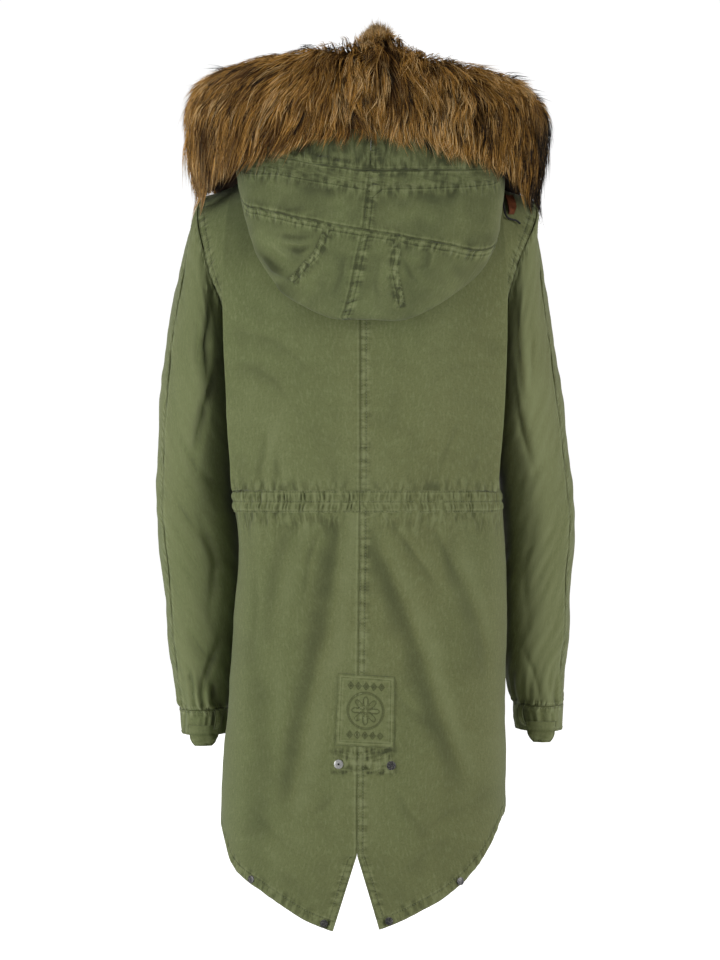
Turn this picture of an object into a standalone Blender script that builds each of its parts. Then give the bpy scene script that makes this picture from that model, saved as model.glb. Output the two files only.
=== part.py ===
# Hooded parka of olive cotton with a long fur ruff, shown filled out and hanging from its shoulders.
# Metres, +Z up. The wearer faces -Y, and +X is the wearer's left. The origin lies at the height of the
# neck end of the shoulder seams, in the middle of the neck opening.
import math

import bmesh
import bpy
from mathutils import Vector
from mathutils.bvhtree import BVHTree

# ---- driving sizes
CLOTH = 0.0016  # thickness of one layer of the shell as built
SEAM_INSET = 0.00016  # each piece stops this far short of a seam
PLEAT_PROUD = 0.0036  # how far the back panel stands off the pleat underlay
SIDE_Y = 0.008  # depth at which the side seams lie
NECK_HALF = 0.078
NECK_BACK_Y = 0.066
NECK_FRONT_Y = -0.082
ARM_MID_Z = -0.122
ARM_HALF_HEIGHT = 0.088
ARM_HALF_DEPTH = 0.075
UNDERARM_Z = -0.210
WAIST_Z = -0.400
SPLIT_X = 0.0096
SPLIT_Z = -0.816
CASING_TOP_Z = -0.3905
CASING_BOTTOM_Z = -0.4165
CASING_GATHERS = 34  # in each half of the waist
SNAP_RADIUS = 0.0055
HEM_SNAP_RADIUS = 0.0048

# ---- tables
# The body: half widths at the side seams and depths at centre back and centre front.
BODY_COLUMNS = ("z", "left", "right", "back", "front")
BODY_ROWS = [
    (-0.122, 0.187, 0.181, 0.124, -0.106),
    (-0.210, 0.157, 0.157, 0.134, -0.127),
    (-0.300, 0.1555, 0.1555, 0.131, -0.128),
    (-0.400, 0.1585, 0.1640, 0.116, -0.117),
    (-0.465, 0.1520, 0.1700, 0.121, -0.122),
    (-0.550, 0.1590, 0.1715, 0.129, -0.131),
    (-0.610, 0.1625, 0.1700, 0.133, -0.136),
    (-0.660, 0.1650, 0.1690, 0.136, -0.139),
    (-0.720, 0.1720, 0.1705, 0.138, -0.141),
    (-0.800, 0.1730, 0.1700, 0.140, -0.141),
    (-0.930, 0.1720, 0.1700, 0.142, -0.141),
]
# The armhole's distance from the middle, by the angle round it from the shoulder tip.
ARMHOLE_X = {
    "left": [(0, 0.193), (45, 0.200), (90, 0.187), (135, 0.165), (180, 0.157)],
    "right": [(0, 0.193), (45, 0.205), (90, 0.181), (135, 0.164), (180, 0.157)],
}
# The hem's height against the way from centre back to the side seam.
HEM_Z = {
    "left": [(0, -0.904), (0.136, -0.892), (0.233, -0.881), (0.324, -0.871), (0.431, -0.860),
             (0.543, -0.851), (0.652, -0.841), (0.721, -0.831), (0.855, -0.804), (1, -0.790)],
    "right": [(0, -0.902), (0.103, -0.891), (0.198, -0.880), (0.294, -0.870), (0.359, -0.861),
              (0.445, -0.850), (0.50, -0.8405), (0.557, -0.8315), (0.61, -0.821), (0.704, -0.802),
              (0.80, -0.783), (1, -0.770)],
}
TAIL_TIP_X = {"left": 0.0375, "right": 0.0164}
FRONT_HEM_Z = -0.785
# The fold of the pleat: where it starts on the base surface and how far out it stands.
FOLD_COLUMNS = ("v", "share", "x")
FOLD_ROWS = [(0.0, 0.80, 0.150), (0.5, 0.80, 0.162), (1.0, 0.80, 0.167), (2.0, 0.84, 0.1675),
             (2.5, 0.84, 0.1635), (2.926, 0.84, 0.1590), (2.941, 1.0, 0.158), (4.0, 1.0, 0.158)]
# Soft troughs in the skirt: depth, half width, then x and z along each.
SKIRT_FOLDS = [
    (0.0065, 0.020, [(0.024, -0.425), (0.036, -0.50), (0.047, -0.57), (0.066, -0.64), (0.088, -0.76)]),
    (0.0040, 0.018, [(0.078, -0.425), (0.092, -0.47), (0.106, -0.53)]),
    (0.0060, 0.020, [(-0.012, -0.46), (-0.040, -0.52), (-0.066, -0.58), (-0.090, -0.66), (-0.112, -0.72)]),
    (0.0045, 0.018, [(-0.112, -0.47), (-0.136, -0.53), (-0.152, -0.58)]),
    (0.0040, 0.018, [(0.118, -0.60), (0.110, -0.70), (0.118, -0.80)]),
]
# Sleeves: outer and inner line, middle depth and half depth, from the armhole to the cuff.
SLEEVE_COLUMNS = ("x_out", "z_out", "x_in", "z_in", "y_mid", "half_depth")
SLEEVE_ROWS = {
    "left": [
        (0.1930, -0.034, 0.1570, -0.210, 0.000, 0.0750),
        (0.2065, -0.061, 0.1612, -0.221, 0.000, 0.0765),
        (0.2215, -0.110, 0.1622, -0.238, 0.000, 0.0785),
        (0.2365, -0.178, 0.1615, -0.266, -0.002, 0.0790),
        (0.2445, -0.245, 0.1605, -0.302, -0.005, 0.0770),
        (0.2535, -0.315, 0.1600, -0.345, -0.018, 0.0735),
        (0.2560, -0.385, 0.1615, -0.395, -0.037, 0.0700),
        (0.2552, -0.440, 0.1530, -0.443, -0.053, 0.0670),
        (0.2525, -0.495, 0.1500, -0.495, -0.057, 0.0640),
        (0.2460, -0.550, 0.1530, -0.550, -0.059, 0.0610),
        (0.2385, -0.605, 0.1575, -0.603, -0.058, 0.0580),
        (0.2345, -0.642, 0.1630, -0.641, -0.060, 0.0555),
        (0.2290, -0.660, 0.1680, -0.659, -0.060, 0.0530),
    ],
    "right": [
        (0.1930, -0.034, 0.1570, -0.210, 0.000, 0.0750),
        (0.2000, -0.058, 0.1612, -0.221, 0.000, 0.0765),
        (0.2130, -0.105, 0.1622, -0.238, 0.000, 0.0785),
        (0.2240, -0.172, 0.1615, -0.266, -0.002, 0.0790),
        (0.2335, -0.240, 0.1605, -0.302, -0.005, 0.0770),
        (0.2460, -0.305, 0.1605, -0.345, -0.018, 0.0735),
        (0.2540, -0.375, 0.1670, -0.395, -0.038, 0.0700),
        (0.2587, -0.440, 0.1690, -0.443, -0.051, 0.0670),
        (0.2570, -0.495, 0.1680, -0.495, -0.052, 0.0640),
        (0.2543, -0.550, 0.1690, -0.550, -0.057, 0.0610),
        (0.2480, -0.600, 0.1710, -0.600, -0.060, 0.0580),
        (0.2478, -0.638, 0.1790, -0.637, -0.062, 0.0555),
        (0.2455, -0.655, 0.1860, -0.654, -0.062, 0.0530),
    ],
}
CUFF_DROP = {"left": 0.0305, "right": 0.0310}
# The hood hangs down behind. Stations round the neck from centre back (0) to centre front (180), each a
# line from the neck seam over the back, round the pouch's bottom and up to the edge that holds the fur.
HOOD_COLUMNS = ("angle", "rest_x", "rest_y", "rest_z", "low_x", "low_y", "low_z", "bottom_x", "bottom_y",
                "bottom_z", "out_x", "out_y", "out_z", "edge_x", "edge_y", "edge_z")
HOOD_ROWS = {
    "left": [
        (0, 0.000, 0.125, -0.060, 0.000, 0.150, -0.150, 0.000, 0.176, -0.190, 0.000, 0.205, -0.085, 0.000, 0.172, 0.068),
        (28, 0.034, 0.122, -0.050, 0.042, 0.146, -0.145, 0.046, 0.170, -0.186, 0.052, 0.196, -0.080, 0.060, 0.160, 0.068),
        (52, 0.062, 0.108, -0.035, 0.086, 0.132, -0.110, 0.098, 0.152, -0.155, 0.104, 0.170, -0.065, 0.110, 0.127, 0.066),
        (76, 0.084, 0.066, -0.004, 0.108, 0.110, -0.060, 0.130, 0.126, -0.098, 0.142, 0.130, -0.040, 0.143, 0.074, 0.060),
        (102, 0.096, 0.010, 0.012, 0.112, 0.028, 0.006, 0.140, 0.050, -0.004, 0.156, 0.040, 0.022, 0.154, 0.006, 0.050),
        (128, 0.082, -0.054, 0.004, 0.095, -0.060, 0.000, 0.112, -0.066, -0.006, 0.130, -0.070, 0.014, 0.130, -0.066, 0.036),
        (152, 0.050, -0.088, -0.014, 0.056, -0.100, -0.016, 0.066, -0.112, -0.016, 0.076, -0.118, -0.002, 0.078, -0.110, 0.018),
        (176, 0.0052, -0.095, -0.034, 0.0052, -0.103, -0.032, 0.0054, -0.112, -0.028, 0.0056, -0.121, -0.018, 0.0058, -0.119, 0.000),
    ],
    "right": [
        (0, 0.000, 0.125, -0.060, 0.000, 0.150, -0.150, 0.000, 0.176, -0.190, 0.000, 0.205, -0.085, 0.000, 0.172, 0.068),
        (28, 0.036, 0.122, -0.050, 0.046, 0.146, -0.147, 0.052, 0.170, -0.188, 0.056, 0.198, -0.082, 0.060, 0.162, 0.066),
        (52, 0.066, 0.108, -0.037, 0.096, 0.134, -0.116, 0.110, 0.154, -0.156, 0.118, 0.172, -0.070, 0.116, 0.130, 0.062),
        (76, 0.088, 0.066, -0.006, 0.120, 0.108, -0.070, 0.148, 0.126, -0.108, 0.158, 0.134, -0.048, 0.148, 0.076, 0.054),
        (102, 0.096, 0.010, 0.012, 0.113, 0.028, 0.006, 0.146, 0.052, -0.012, 0.162, 0.042, 0.014, 0.157, 0.006, 0.044),
        (128, 0.082, -0.054, 0.004, 0.095, -0.060, 0.000, 0.112, -0.066, -0.006, 0.130, -0.070, 0.012, 0.132, -0.066, 0.034),
        (152, 0.050, -0.088, -0.014, 0.056, -0.100, -0.016, 0.066, -0.112, -0.016, 0.076, -0.118, -0.002, 0.078, -0.110, 0.018),
        (176, 0.0052, -0.095, -0.034, 0.0052, -0.103, -0.032, 0.0054, -0.112, -0.028, 0.0056, -0.121, -0.018, 0.0058, -0.119, 0.000),
    ],
}
# The ruff's section about the hood's edge: reach outward, inward, upward and down over the cloth.
RUFF_COLUMNS = ("angle", "out", "in", "up", "down", "lip")
RUFF_ROWS = {
    "left": [(0, 0.046, 0.048, 0.062, 0.054, 0.024), (14, 0.047, 0.049, 0.055, 0.056, 0.025),
             (28, 0.048, 0.050, 0.054, 0.062, 0.026), (52, 0.058, 0.050, 0.049, 0.078, 0.032),
             (76, 0.064, 0.046, 0.048, 0.092, 0.034), (102, 0.062, 0.040, 0.050, 0.086, 0.026),
             (128, 0.052, 0.036, 0.054, 0.056, 0.018), (152, 0.042, 0.032, 0.050, 0.034, 0.014),
             (173, 0.030, 0.022, 0.040, 0.026, 0.010)],
    "right": [(0, 0.046, 0.048, 0.062, 0.054, 0.024), (8, 0.046, 0.048, 0.070, 0.055, 0.024),
              (16, 0.047, 0.049, 0.064, 0.057, 0.025), (28, 0.048, 0.050, 0.053, 0.062, 0.026),
              (52, 0.058, 0.050, 0.042, 0.078, 0.032), (76, 0.064, 0.046, 0.041, 0.092, 0.034),
              (102, 0.062, 0.040, 0.043, 0.086, 0.026), (128, 0.052, 0.036, 0.052, 0.056, 0.018),
              (152, 0.042, 0.032, 0.050, 0.034, 0.014), (173, 0.030, 0.022, 0.040, 0.026, 0.010)],
}
RUFF_LOCKS = 2.4  # mm of relief between one lock of hair and the next


# ---- small helpers
def lerp(a, b, share):
    return a + (b - a) * share


def smooth(value, low, high):
    """0 below low, 1 above high, soft between."""
    share = min(1.0, max(0.0, (value - low) / (high - low)))
    return share * share * (3 - 2 * share)


def look_up(rows, key):
    """Every other column of a table, smoothly between its rows, by its first column."""
    if (rows[0][0] > rows[-1][0]):
        rows = rows[::-1]
    key = min(max(key, rows[0][0]), rows[-1][0])
    i = 0
    while i < len(rows) - 2 and key > rows[i + 1][0]:
        i += 1
    a, b = rows[i], rows[i + 1]
    before = rows[i - 1] if i else a
    after = rows[i + 2] if i + 2 < len(rows) else b
    span = b[0] - a[0]
    share = (key - a[0]) / span
    values = []
    for column in range(1, len(a)):
        slope_a = (b[column] - before[column]) / (b[0] - before[0]) * span
        slope_b = (after[column] - a[column]) / (after[0] - a[0]) * span
        values.append((2 * share**3 - 3 * share**2 + 1) * a[column] + (share**3 - 2 * share**2 + share) * slope_a
                      + (3 * share**2 - 2 * share**3) * b[column] + (share**3 - share**2) * slope_b)
    return values if len(values) > 1 else values[0]


def look_up_straight(rows, key):
    """One value, along straight lines between a table's rows."""
    key = min(max(key, rows[0][0]), rows[-1][0])
    for a, b in zip(rows, rows[1:]):
        if key <= b[0]:
            return lerp(a[1], b[1], (key - a[0]) / (b[0] - a[0]))
    return rows[-1][1]


# ---- materials
def material(name, colour, roughness, metallic=0.0):
    made = bpy.data.materials.new(name)
    made.use_nodes = True
    shader = made.node_tree.nodes["Principled BSDF"]
    shader.inputs["Base Color"].default_value = (*colour, 1)
    shader.inputs["Roughness"].default_value = roughness
    shader.inputs["Metallic"].default_value = metallic
    return made


for thing in list(bpy.data.objects):
    bpy.data.objects.remove(thing)
olive_cloth = material("olive_cloth", (0.140, 0.158, 0.070), 0.9)
ruff_fur = material("ruff_fur", (0.110, 0.055, 0.016), 0.85)
dark_metal = material("dark_metal", (0.045, 0.045, 0.048), 0.35, 1.0)
silver_metal = material("silver_metal", (0.42, 0.42, 0.43), 0.3, 1.0)
tab_leather = material("tab_leather", (0.11, 0.035, 0.014), 0.6)
black_cord = material("black_cord", (0.012, 0.012, 0.012), 0.8)
zip_tape_cloth = material("zip_tape_cloth", (0.05, 0.056, 0.028), 0.85)


# ---- solids from grids
def add_solid(name, vertices, faces, surface):
    mesh = bpy.data.meshes.new(name)
    mesh.from_pydata([tuple(v) for v in vertices], [], faces)
    bm = bmesh.new()
    bm.from_mesh(mesh)
    bmesh.ops.recalc_face_normals(bm, faces=bm.faces[:])
    bmesh.ops.triangulate(bm, faces=bm.faces[:])
    bm.to_mesh(mesh)
    bm.free()
    mesh.materials.append(surface)
    made = bpy.data.objects.new(name, mesh)
    bpy.context.scene.collection.objects.link(made)
    return made


def wall(name, outer, inner, surface, closed=False):
    """A closed wall between two grids of points of the same size; closed joins the ends of each row."""
    rows, columns = len(outer), len(outer[0])
    vertices = [p for row in outer for p in row] + [p for row in inner for p in row]
    half = rows * columns
    faces = []
    steps = columns if closed else columns - 1
    for i in range(rows - 1):
        for j in range(steps):
            a, b = i * columns + j, i * columns + (j + 1) % columns
            c, d = b + columns, a + columns
            faces.append((a, b, c, d))
            faces.append((half + d, half + c, half + b, half + a))
    for j in range(steps):
        k = (j + 1) % columns
        last = (rows - 1) * columns
        faces.append((j, half + j, half + k, k))
        faces.append((last + k, half + last + k, half + last + j, last + j))
    if not closed:
        for i in range(rows - 1):
            a, d = i * columns, (i + 1) * columns
            faces.append((a, d, half + d, half + a))
            a, d = a + columns - 1, d + columns - 1
            faces.append((a, half + a, half + d, d))
    return add_solid(name, vertices, faces, surface)


def pull_in(grid, edges, inset=SEAM_INSET):
    """Moves the named edges of a grid of points inward along it."""
    def step(start, towards):
        way = towards - start
        return start + way * (inset / max(way.length, 1e-9))
    if "top" in edges:
        grid[0] = [step(p, q) for p, q in zip(grid[0], grid[1])]
    if "bottom" in edges:
        grid[-1] = [step(p, q) for p, q in zip(grid[-1], grid[-2])]
    for row in grid:
        if "start" in edges:
            row[0] = step(row[0], row[1])
        if "end" in edges:
            row[-1] = step(row[-1], row[-2])
    return grid


def normal_of(surface, a, b, step=0.004):
    """A surface function's unit normal, by small steps along both ways."""
    da = surface(a + step, b) - surface(a - step, b)
    db = surface(a, b + step) - surface(a, b - step)
    return da.cross(db).normalized()


def sheet_wall(name, surface, rows, columns, cloth, edges="", mirror=False, outward=1, facing=None, thick=CLOTH):
    """A wall of cloth on a surface function of (column, row), with its edges pulled in at seams."""
    middle = [[surface(a, b) for a in columns] for b in rows]
    pull_in(middle, edges)
    normals = [[normal_of(facing or surface, a, b) * outward for a in columns] for b in rows]
    outer, inner = [], []
    for i in range(len(rows)):
        outer.append([p + n * (thick / 2) for p, n in zip(middle[i], normals[i])])
        inner.append([p - n * (thick / 2) for p, n in zip(middle[i], normals[i])])
    if mirror:
        for grid in (outer, inner):
            for row in grid:
                for p in row:
                    p.x = -p.x
    remember_skin(outer, (outward < 0) != mirror)
    return wall(name, outer, inner, cloth)


skin_points, skin_faces = [], []


def remember_skin(grid, flip):
    """Keeps a wall's outer side, so that what lies on it can be held off it."""
    start, columns = len(skin_points), len(grid[0])
    skin_points.extend(p.copy() for row in grid for p in row)
    for i in range(len(grid) - 1):
        for j in range(columns - 1):
            a = start + i * columns + j
            face = (a, a + 1, a + columns + 1, a + columns)
            skin_faces.append(face[::-1] if flip else face)


def hold_off(tree, point, clear):
    """Moves a point out until it stands clear of the cloth below it."""
    for turn in range(4):
        place, normal, index, gap = tree.find_nearest(point)
        height = (point - place).dot(normal)
        if gap > 0.03 or height >= clear - 1e-6:
            break
        point = point + normal * (clear - height)
    return point


# ---- the body: t runs from the middle to the side, v from the shoulder (0) over the back notch of the
# armhole (1), the underarm (2) and the waist (3) to the hem (4). Each side is worked out with x positive.
def arm_edge(side, angle):
    a = math.radians(angle)
    return Vector((look_up_straight_soft(side, angle), ARM_HALF_DEPTH * math.sin(a),
                   ARM_MID_Z + ARM_HALF_HEIGHT * math.cos(a)))


def look_up_straight_soft(side, angle):
    angle = abs((angle + 180) % 360 - 180)
    return look_up([(key, value) for key, value in ARMHOLE_X[side]], angle)


def body_row(side, z):
    left, right, back, front = look_up(BODY_ROWS, z)
    return (left if side == "left" else right), back, front


def waist_v(z):
    """v of a height between the underarm and the waist."""
    return 2 + (UNDERARM_Z - z) / (UNDERARM_Z - WAIST_Z)


def swing(t, v):
    """How far round the body t lies, in degrees; the far part of each row wraps the side under the arm."""
    opening = 60 + 30 * min(1.0, max(0.0, v - 1))
    return 60 * t + (opening - 60) * t**5, opening


def arc(side, part, z, edge, round_to, opening):
    """A point on one level of the body, between its middle line and its edge."""
    back, front = body_row(side, z)[1:]
    depth = (back if part == "back" else front) - edge.y
    a = math.radians(round_to)
    whole = math.radians(opening)
    if part == "back":
        power_x, power_y = 0.86, 0.82
    else:
        power_x, power_y = 1.0, 1.0
    x = edge.x * (math.sin(a) / math.sin(whole)) ** power_x if a > 0 else 0.0
    low = math.cos(whole) ** power_y if whole < 1.57 else 0.0
    y = edge.y + depth * (math.cos(min(a, 1.5707)) ** power_y - low) / (1 - low)
    return Vector((x, y, z))


def split_x(side, z):
    """How far the centre back line lies from x = 0 on this side; beyond the split it is the tail's edge."""
    seam = lerp(0.0055, SPLIT_X, smooth(-z, 0.3, 0.8))
    if side == "right":
        seam = -seam
    tip = TAIL_TIP_X[side]
    return lerp(seam, tip, min(1.0, max(0.0, (SPLIT_Z - z) / (SPLIT_Z - HEM_Z[side][0][1]))))


def skirt_fold(x, z):
    depth = 0.0
    for deep, wide, path in SKIRT_FOLDS:
        line = [(-h, x_at) for x_at, h in path]
        if line[0][0] - 0.05 < -z < line[-1][0] + 0.05:
            middle = look_up_straight(line, -z)
            fade = smooth(-z, line[0][0] - 0.05, line[0][0] + 0.02) * (1 - smooth(-z, line[-1][0] - 0.02, line[-1][0] + 0.05))
            depth += deep * fade * math.exp(-((x - middle) / wide) ** 2)
    return depth * (1 - smooth(abs(x), 0.135, 0.155))


def base_point(side, part, t, v):
    """The body's middle surface, before the pleats stand off it."""
    sign = 1 if part == "back" else -1
    t = max(0.0, t)
    if v < 1:
        v = max(0.0, v)
        angle = math.radians(90 * v)
        notch = arm_edge(side, 90)
        notch.y *= sign
        under = arc(side, part, ARM_MID_Z, notch, 60 * t, 60)
        turn = min(t / 0.42, 1.0) * math.pi / 2
        if part == "back":
            top = Vector((NECK_HALF * math.sin(turn), NECK_BACK_Y * math.cos(turn), 0.012 * math.cos(turn)))
        else:
            top = Vector((NECK_HALF * math.sin(turn), NECK_FRONT_Y * math.cos(turn), -0.045 * math.cos(turn) ** 1.2))
        if t > 0.42:
            along = (t - 0.42) / 0.58
            top = Vector((lerp(NECK_HALF, 0.193, along), 0, -0.034 * along ** 1.25))
        bulge = arm_edge(side, 90 * v).x - lerp(0.193, notch.x, v)
        point = Vector((lerp(top.x, under.x, v) + bulge * max(0.0, t) ** 3,
                        lerp(top.y, under.y, math.sin(angle)),
                        lerp(top.z, under.z, 1 - math.cos(angle))))
        return point
    if v < 2:
        edge = arm_edge(side, 90 * v)
        edge.y = sign * edge.y + SIDE_Y * (v - 1) ** 2
        level = lerp(ARM_MID_Z, UNDERARM_Z, v - 1)
        point = arc(side, part, level, edge, *swing(t, v))
        point.z = lerp(level, edge.z, t**3)
        return point
    if v < 3:
        z = lerp(UNDERARM_Z, WAIST_Z, v - 2)
        edge = Vector((body_row(side, z)[0], SIDE_Y, z))
        return arc(side, part, z, edge, *swing(t, v))
    if part == "back":
        hem = look_up_straight(HEM_Z[side], swing(t, v)[0] / 90)
    else:
        hem = lerp(FRONT_HEM_Z, HEM_Z[side][-1][1], smooth(t, 0, 1))
    z = lerp(WAIST_Z, hem, v - 3)
    edge = Vector((body_row(side, z)[0], SIDE_Y, z))
    return arc(side, part, z, edge, *swing(t, v))


def back_point(side, t, v):
    """The back panel: t runs from the centre seam to the pleat's fold, and below the waist to the side."""
    share, fold_x = look_up_fold(v)
    point = base_point(side, "back", t * share, v)
    if v < 2.941:
        edge_x = base_point(side, "back", share, v).x
        blend = smooth(v, 0, 0.3) * (1 - smooth(v, 2.926, 2.941))
        point.x *= 1 + (fold_x / edge_x - 1) * t**2 * blend
    proud = PLEAT_PROUD * smooth(v, 0.0, 0.25) * (1 - smooth(v, 2.4, 2.93)) * smooth(t, 0.2, 0.6)
    point += Vector((0.35 * t, 1, 0.0)).normalized() * proud if v > 0.6 else Vector((0.2 * t, 0.5, 0.8)).normalized() * proud
    shift = split_x(side, point.z)
    width = body_row(side, point.z)[0]
    point.x = shift + point.x * (1 - shift / max(width, 0.15))
    point.y -= skirt_fold(point.x if side == "left" else -point.x, point.z)
    return point


def look_up_fold(v):
    """The share of the base at which the back panel ends, and where its fold stands."""
    share = look_up_straight([(row[0], row[1]) for row in FOLD_ROWS], v)
    fold = look_up_straight([(row[0], row[2]) for row in FOLD_ROWS], v)
    return share, fold


def side_point(side, t, v):
    """The pleat's underlay: t runs from its hidden edge under the back panel to the armhole or side seam."""
    share = look_up_fold(min(v, 2.926))[0]
    whole = lerp(share - 0.17, 1.0, t)
    point = base_point(side, "back", whole, v)
    tuck = PLEAT_PROUD * (1 - smooth(v, 0, 0.25)) * (1 - smooth(whole, share, 1.0))
    point += Vector((0, 0.3, -0.95)).normalized() * tuck
    point.y -= PLEAT_PROUD * smooth(v, 2.4, 2.93) * (1 - smooth(whole, share + 0.02, 1.0))
    return point


def front_point(side, t, v):
    """The front panel, from the zip (0) to the armhole or side seam (1)."""
    point = base_point(side, "front", t, v)
    width = max(body_row(side, point.z)[0], 0.15)
    point.x = 0.0055 + point.x * (1 - 0.0055 / width)
    if v < 0.5 and t <= 0.42:
        point.x = max(point.x, 0.0055)
    return point


BACK_ROWS = [0.0, 0.2, 0.4, 0.6, 0.8, 1.0, 1.33, 1.66, 2.0, 2.25, 2.5, 2.75, 2.86, 2.926, 2.941, 3.0,
             3.1, 3.2, 3.32, 3.44, 3.56, 3.68, 3.8205, 3.865, 3.91, 3.955, 4.0]
BACK_COLUMNS = [0, 0.1, 0.2, 0.3, 0.41, 0.525, 0.62, 0.71, 0.79, 0.86, 0.92, 0.965, 1.0]
SIDE_ROWS = [0.0, 0.2, 0.4, 0.6, 0.8, 1.0, 1.33, 1.66, 2.0, 2.25, 2.5, 2.75, 2.86, 2.926]
SIDE_COLUMNS = [0, 0.25, 0.46, 0.64, 0.82, 1.0]
FRONT_ROWS = [0.0, 0.2, 0.4, 0.6, 0.8, 1.0, 1.33, 1.66, 2.0, 2.25, 2.5, 2.75, 2.86, 2.926, 3.0,
              3.1, 3.2, 3.32, 3.44, 3.56, 3.68, 3.8205, 3.91, 4.0]
FRONT_COLUMNS = [0, 0.14, 0.28, 0.42, 0.56, 0.70, 0.82, 0.92, 1.0]

bodies = []
for side in ("left", "right"):
    mirror = side == "right"
    bodies.append(sheet_wall(
        "back_" + side, lambda t, v: back_point(side, t, v), BACK_ROWS, BACK_COLUMNS, olive_cloth,
        edges=("top", "start", "end"), mirror=mirror,
        facing=lambda t, v: base_point(side, "back", t * look_up_fold(v)[0] if v > 2.941 else t * 0.82, v)))
    bodies.append(sheet_wall(
        "back_side_" + side, lambda t, v: side_point(side, t, v), SIDE_ROWS, SIDE_COLUMNS, olive_cloth,
        edges=("top", "end"), mirror=mirror))
    bodies.append(sheet_wall(
        "front_" + side, lambda t, v: front_point(side, t, v), FRONT_ROWS, FRONT_COLUMNS, olive_cloth,
        edges=("top", "end"), mirror=mirror, outward=-1))


torso_tree = BVHTree.FromPolygons(skin_points, skin_faces)


# ---- sleeves: a is the angle round the arm from its outer line towards the back, s the row of the table
def sleeve_point(side, a, s):
    rows = [(i,) + row for i, row in enumerate(SLEEVE_ROWS[side])]
    x_out, z_out, x_in, z_in, y_mid, depth = look_up(rows, s)
    turn = math.radians(a)
    middle = Vector(((x_out + x_in) / 2, y_mid, (z_out + z_in) / 2))
    across = Vector(((x_out - x_in) / 2, 0, (z_out - z_in) / 2))
    point = middle + across * math.cos(turn) + Vector((0, depth * math.sin(turn), 0))
    cap = 1 - smooth(s, 0.0, 2.5)
    ellipse = lerp(0.175, 0.193, math.cos(turn)) if math.cos(turn) > 0 else lerp(0.175, 0.157, -math.cos(turn))
    point.x += (look_up_straight_soft(side, a) - ellipse) * cap
    stand = 0.0011 + 0.0009 * ((1 - math.cos(turn)) / 2) ** 2
    point.x += stand * (1 - smooth(s, 0.0, 1.0))
    point += across.normalized() * (0.0018 * max(0.0, math.cos(turn)) * math.sin(s * 2.1) * smooth(s, 2, 5) * (1 - smooth(s, 11, 12)))
    return point


UPPER_ANGLES = [-130, -108, -86, -64, -42, -20, 0, 20, 40]
UNDER_ANGLES = [40, 62, 84, 106, 128, 150, 170, 190, 210, 230]
SLEEVE_STEPS = [0, 0.5, 1, 1.5, 2, 3, 4, 5, 5.7, 6.4, 7.1, 8, 9, 10, 11, 12]
for side in ("left", "right"):
    for name, angles in (("upper_sleeve_", UPPER_ANGLES), ("under_sleeve_", UNDER_ANGLES)):
        sheet_wall(name + side, lambda a, s: sleeve_point(side, a, s), SLEEVE_STEPS, angles, olive_cloth,
                   edges=("bottom", "start", "end"), mirror=side == "right", outward=-1)


# ---- cuffs: a doubled band on each sleeve, and its tab
def cuff_point(side, a, drop, lift=0.0):
    x_out, z_out, x_in, z_in, y_mid, depth = SLEEVE_ROWS[side][-1]
    turn = math.radians(a)
    length = CUFF_DROP[side]
    narrow = 0.05 * drop
    half = (x_out - x_in) / 2 * (1 - narrow) + lift
    middle = (x_out + x_in) / 2 + (-0.001 if side == "left" else 0.0005) * drop
    return Vector((middle + half * math.cos(turn), y_mid + (depth * (1 - narrow) + lift) * math.sin(turn),
                   lerp(z_out, z_in, (1 - math.cos(turn)) / 2) - 0.0004 - length * drop))


for side in ("left", "right"):
    sign = 1 if side == "left" else -1
    outer, inner = [], []
    for drop in (0, 0.12, 0.5, 0.88, 1.0):
        round_edge = 0.0003 if drop in (0, 1.0) else 0.0010
        ring = [cuff_point(side, a, drop, round_edge) for a in range(0, 360, 24)]
        outer.append([Vector((sign * p.x, p.y, p.z)) for p in ring])
        ring = [cuff_point(side, a, drop, -0.0010) for a in range(0, 360, 24)]
        inner.append([Vector((sign * p.x, p.y, p.z)) for p in ring])
    wall("cuff_" + side, outer, inner, olive_cloth, closed=True)
    outer, inner = [], []
    for drop, narrow in ((0.60, 1.0), (0.80, 1.0), (1.0, 0.95), (1.28, 0.72), (1.42, 0.52)):
        outer.append([])
        inner.append([])
        for step in range(-3, 4):
            a = 90 + step * 12.5 * narrow
            for lift, grid in ((0.0030, outer), (0.0015, inner)):
                p = cuff_point(side, a, min(drop, 1.0), lift)
                p.z -= (drop - min(drop, 1.0)) * CUFF_DROP[side]
                grid[-1].append(Vector((sign * p.x, p.y, p.z)))
    wall("cuff_tab_" + side, outer, inner, olive_cloth)


# ---- the gathered drawcord casing at the waist
def level_point(side, q, z):
    """A point at one height: q runs from centre back (0) over the side (1) to the zip (2)."""
    part = "back" if q < 1 else "front"
    t = max(0.0, q) if q < 1 else max(0.0, 2 - q)
    edge = Vector((body_row(side, z)[0], SIDE_Y, z))
    point = arc(side, part, z, edge, 90 * t, 90)
    if part == "back":
        shift = split_x(side, z)
        point.x = shift + point.x * (1 - shift / max(edge.x, 0.15))
        point.y -= skirt_fold(point.x if side == "left" else -point.x, z)
    else:
        point.x = 0.0055 + point.x * (1 - 0.0055 / max(edge.x, 0.15))
    return point


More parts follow.
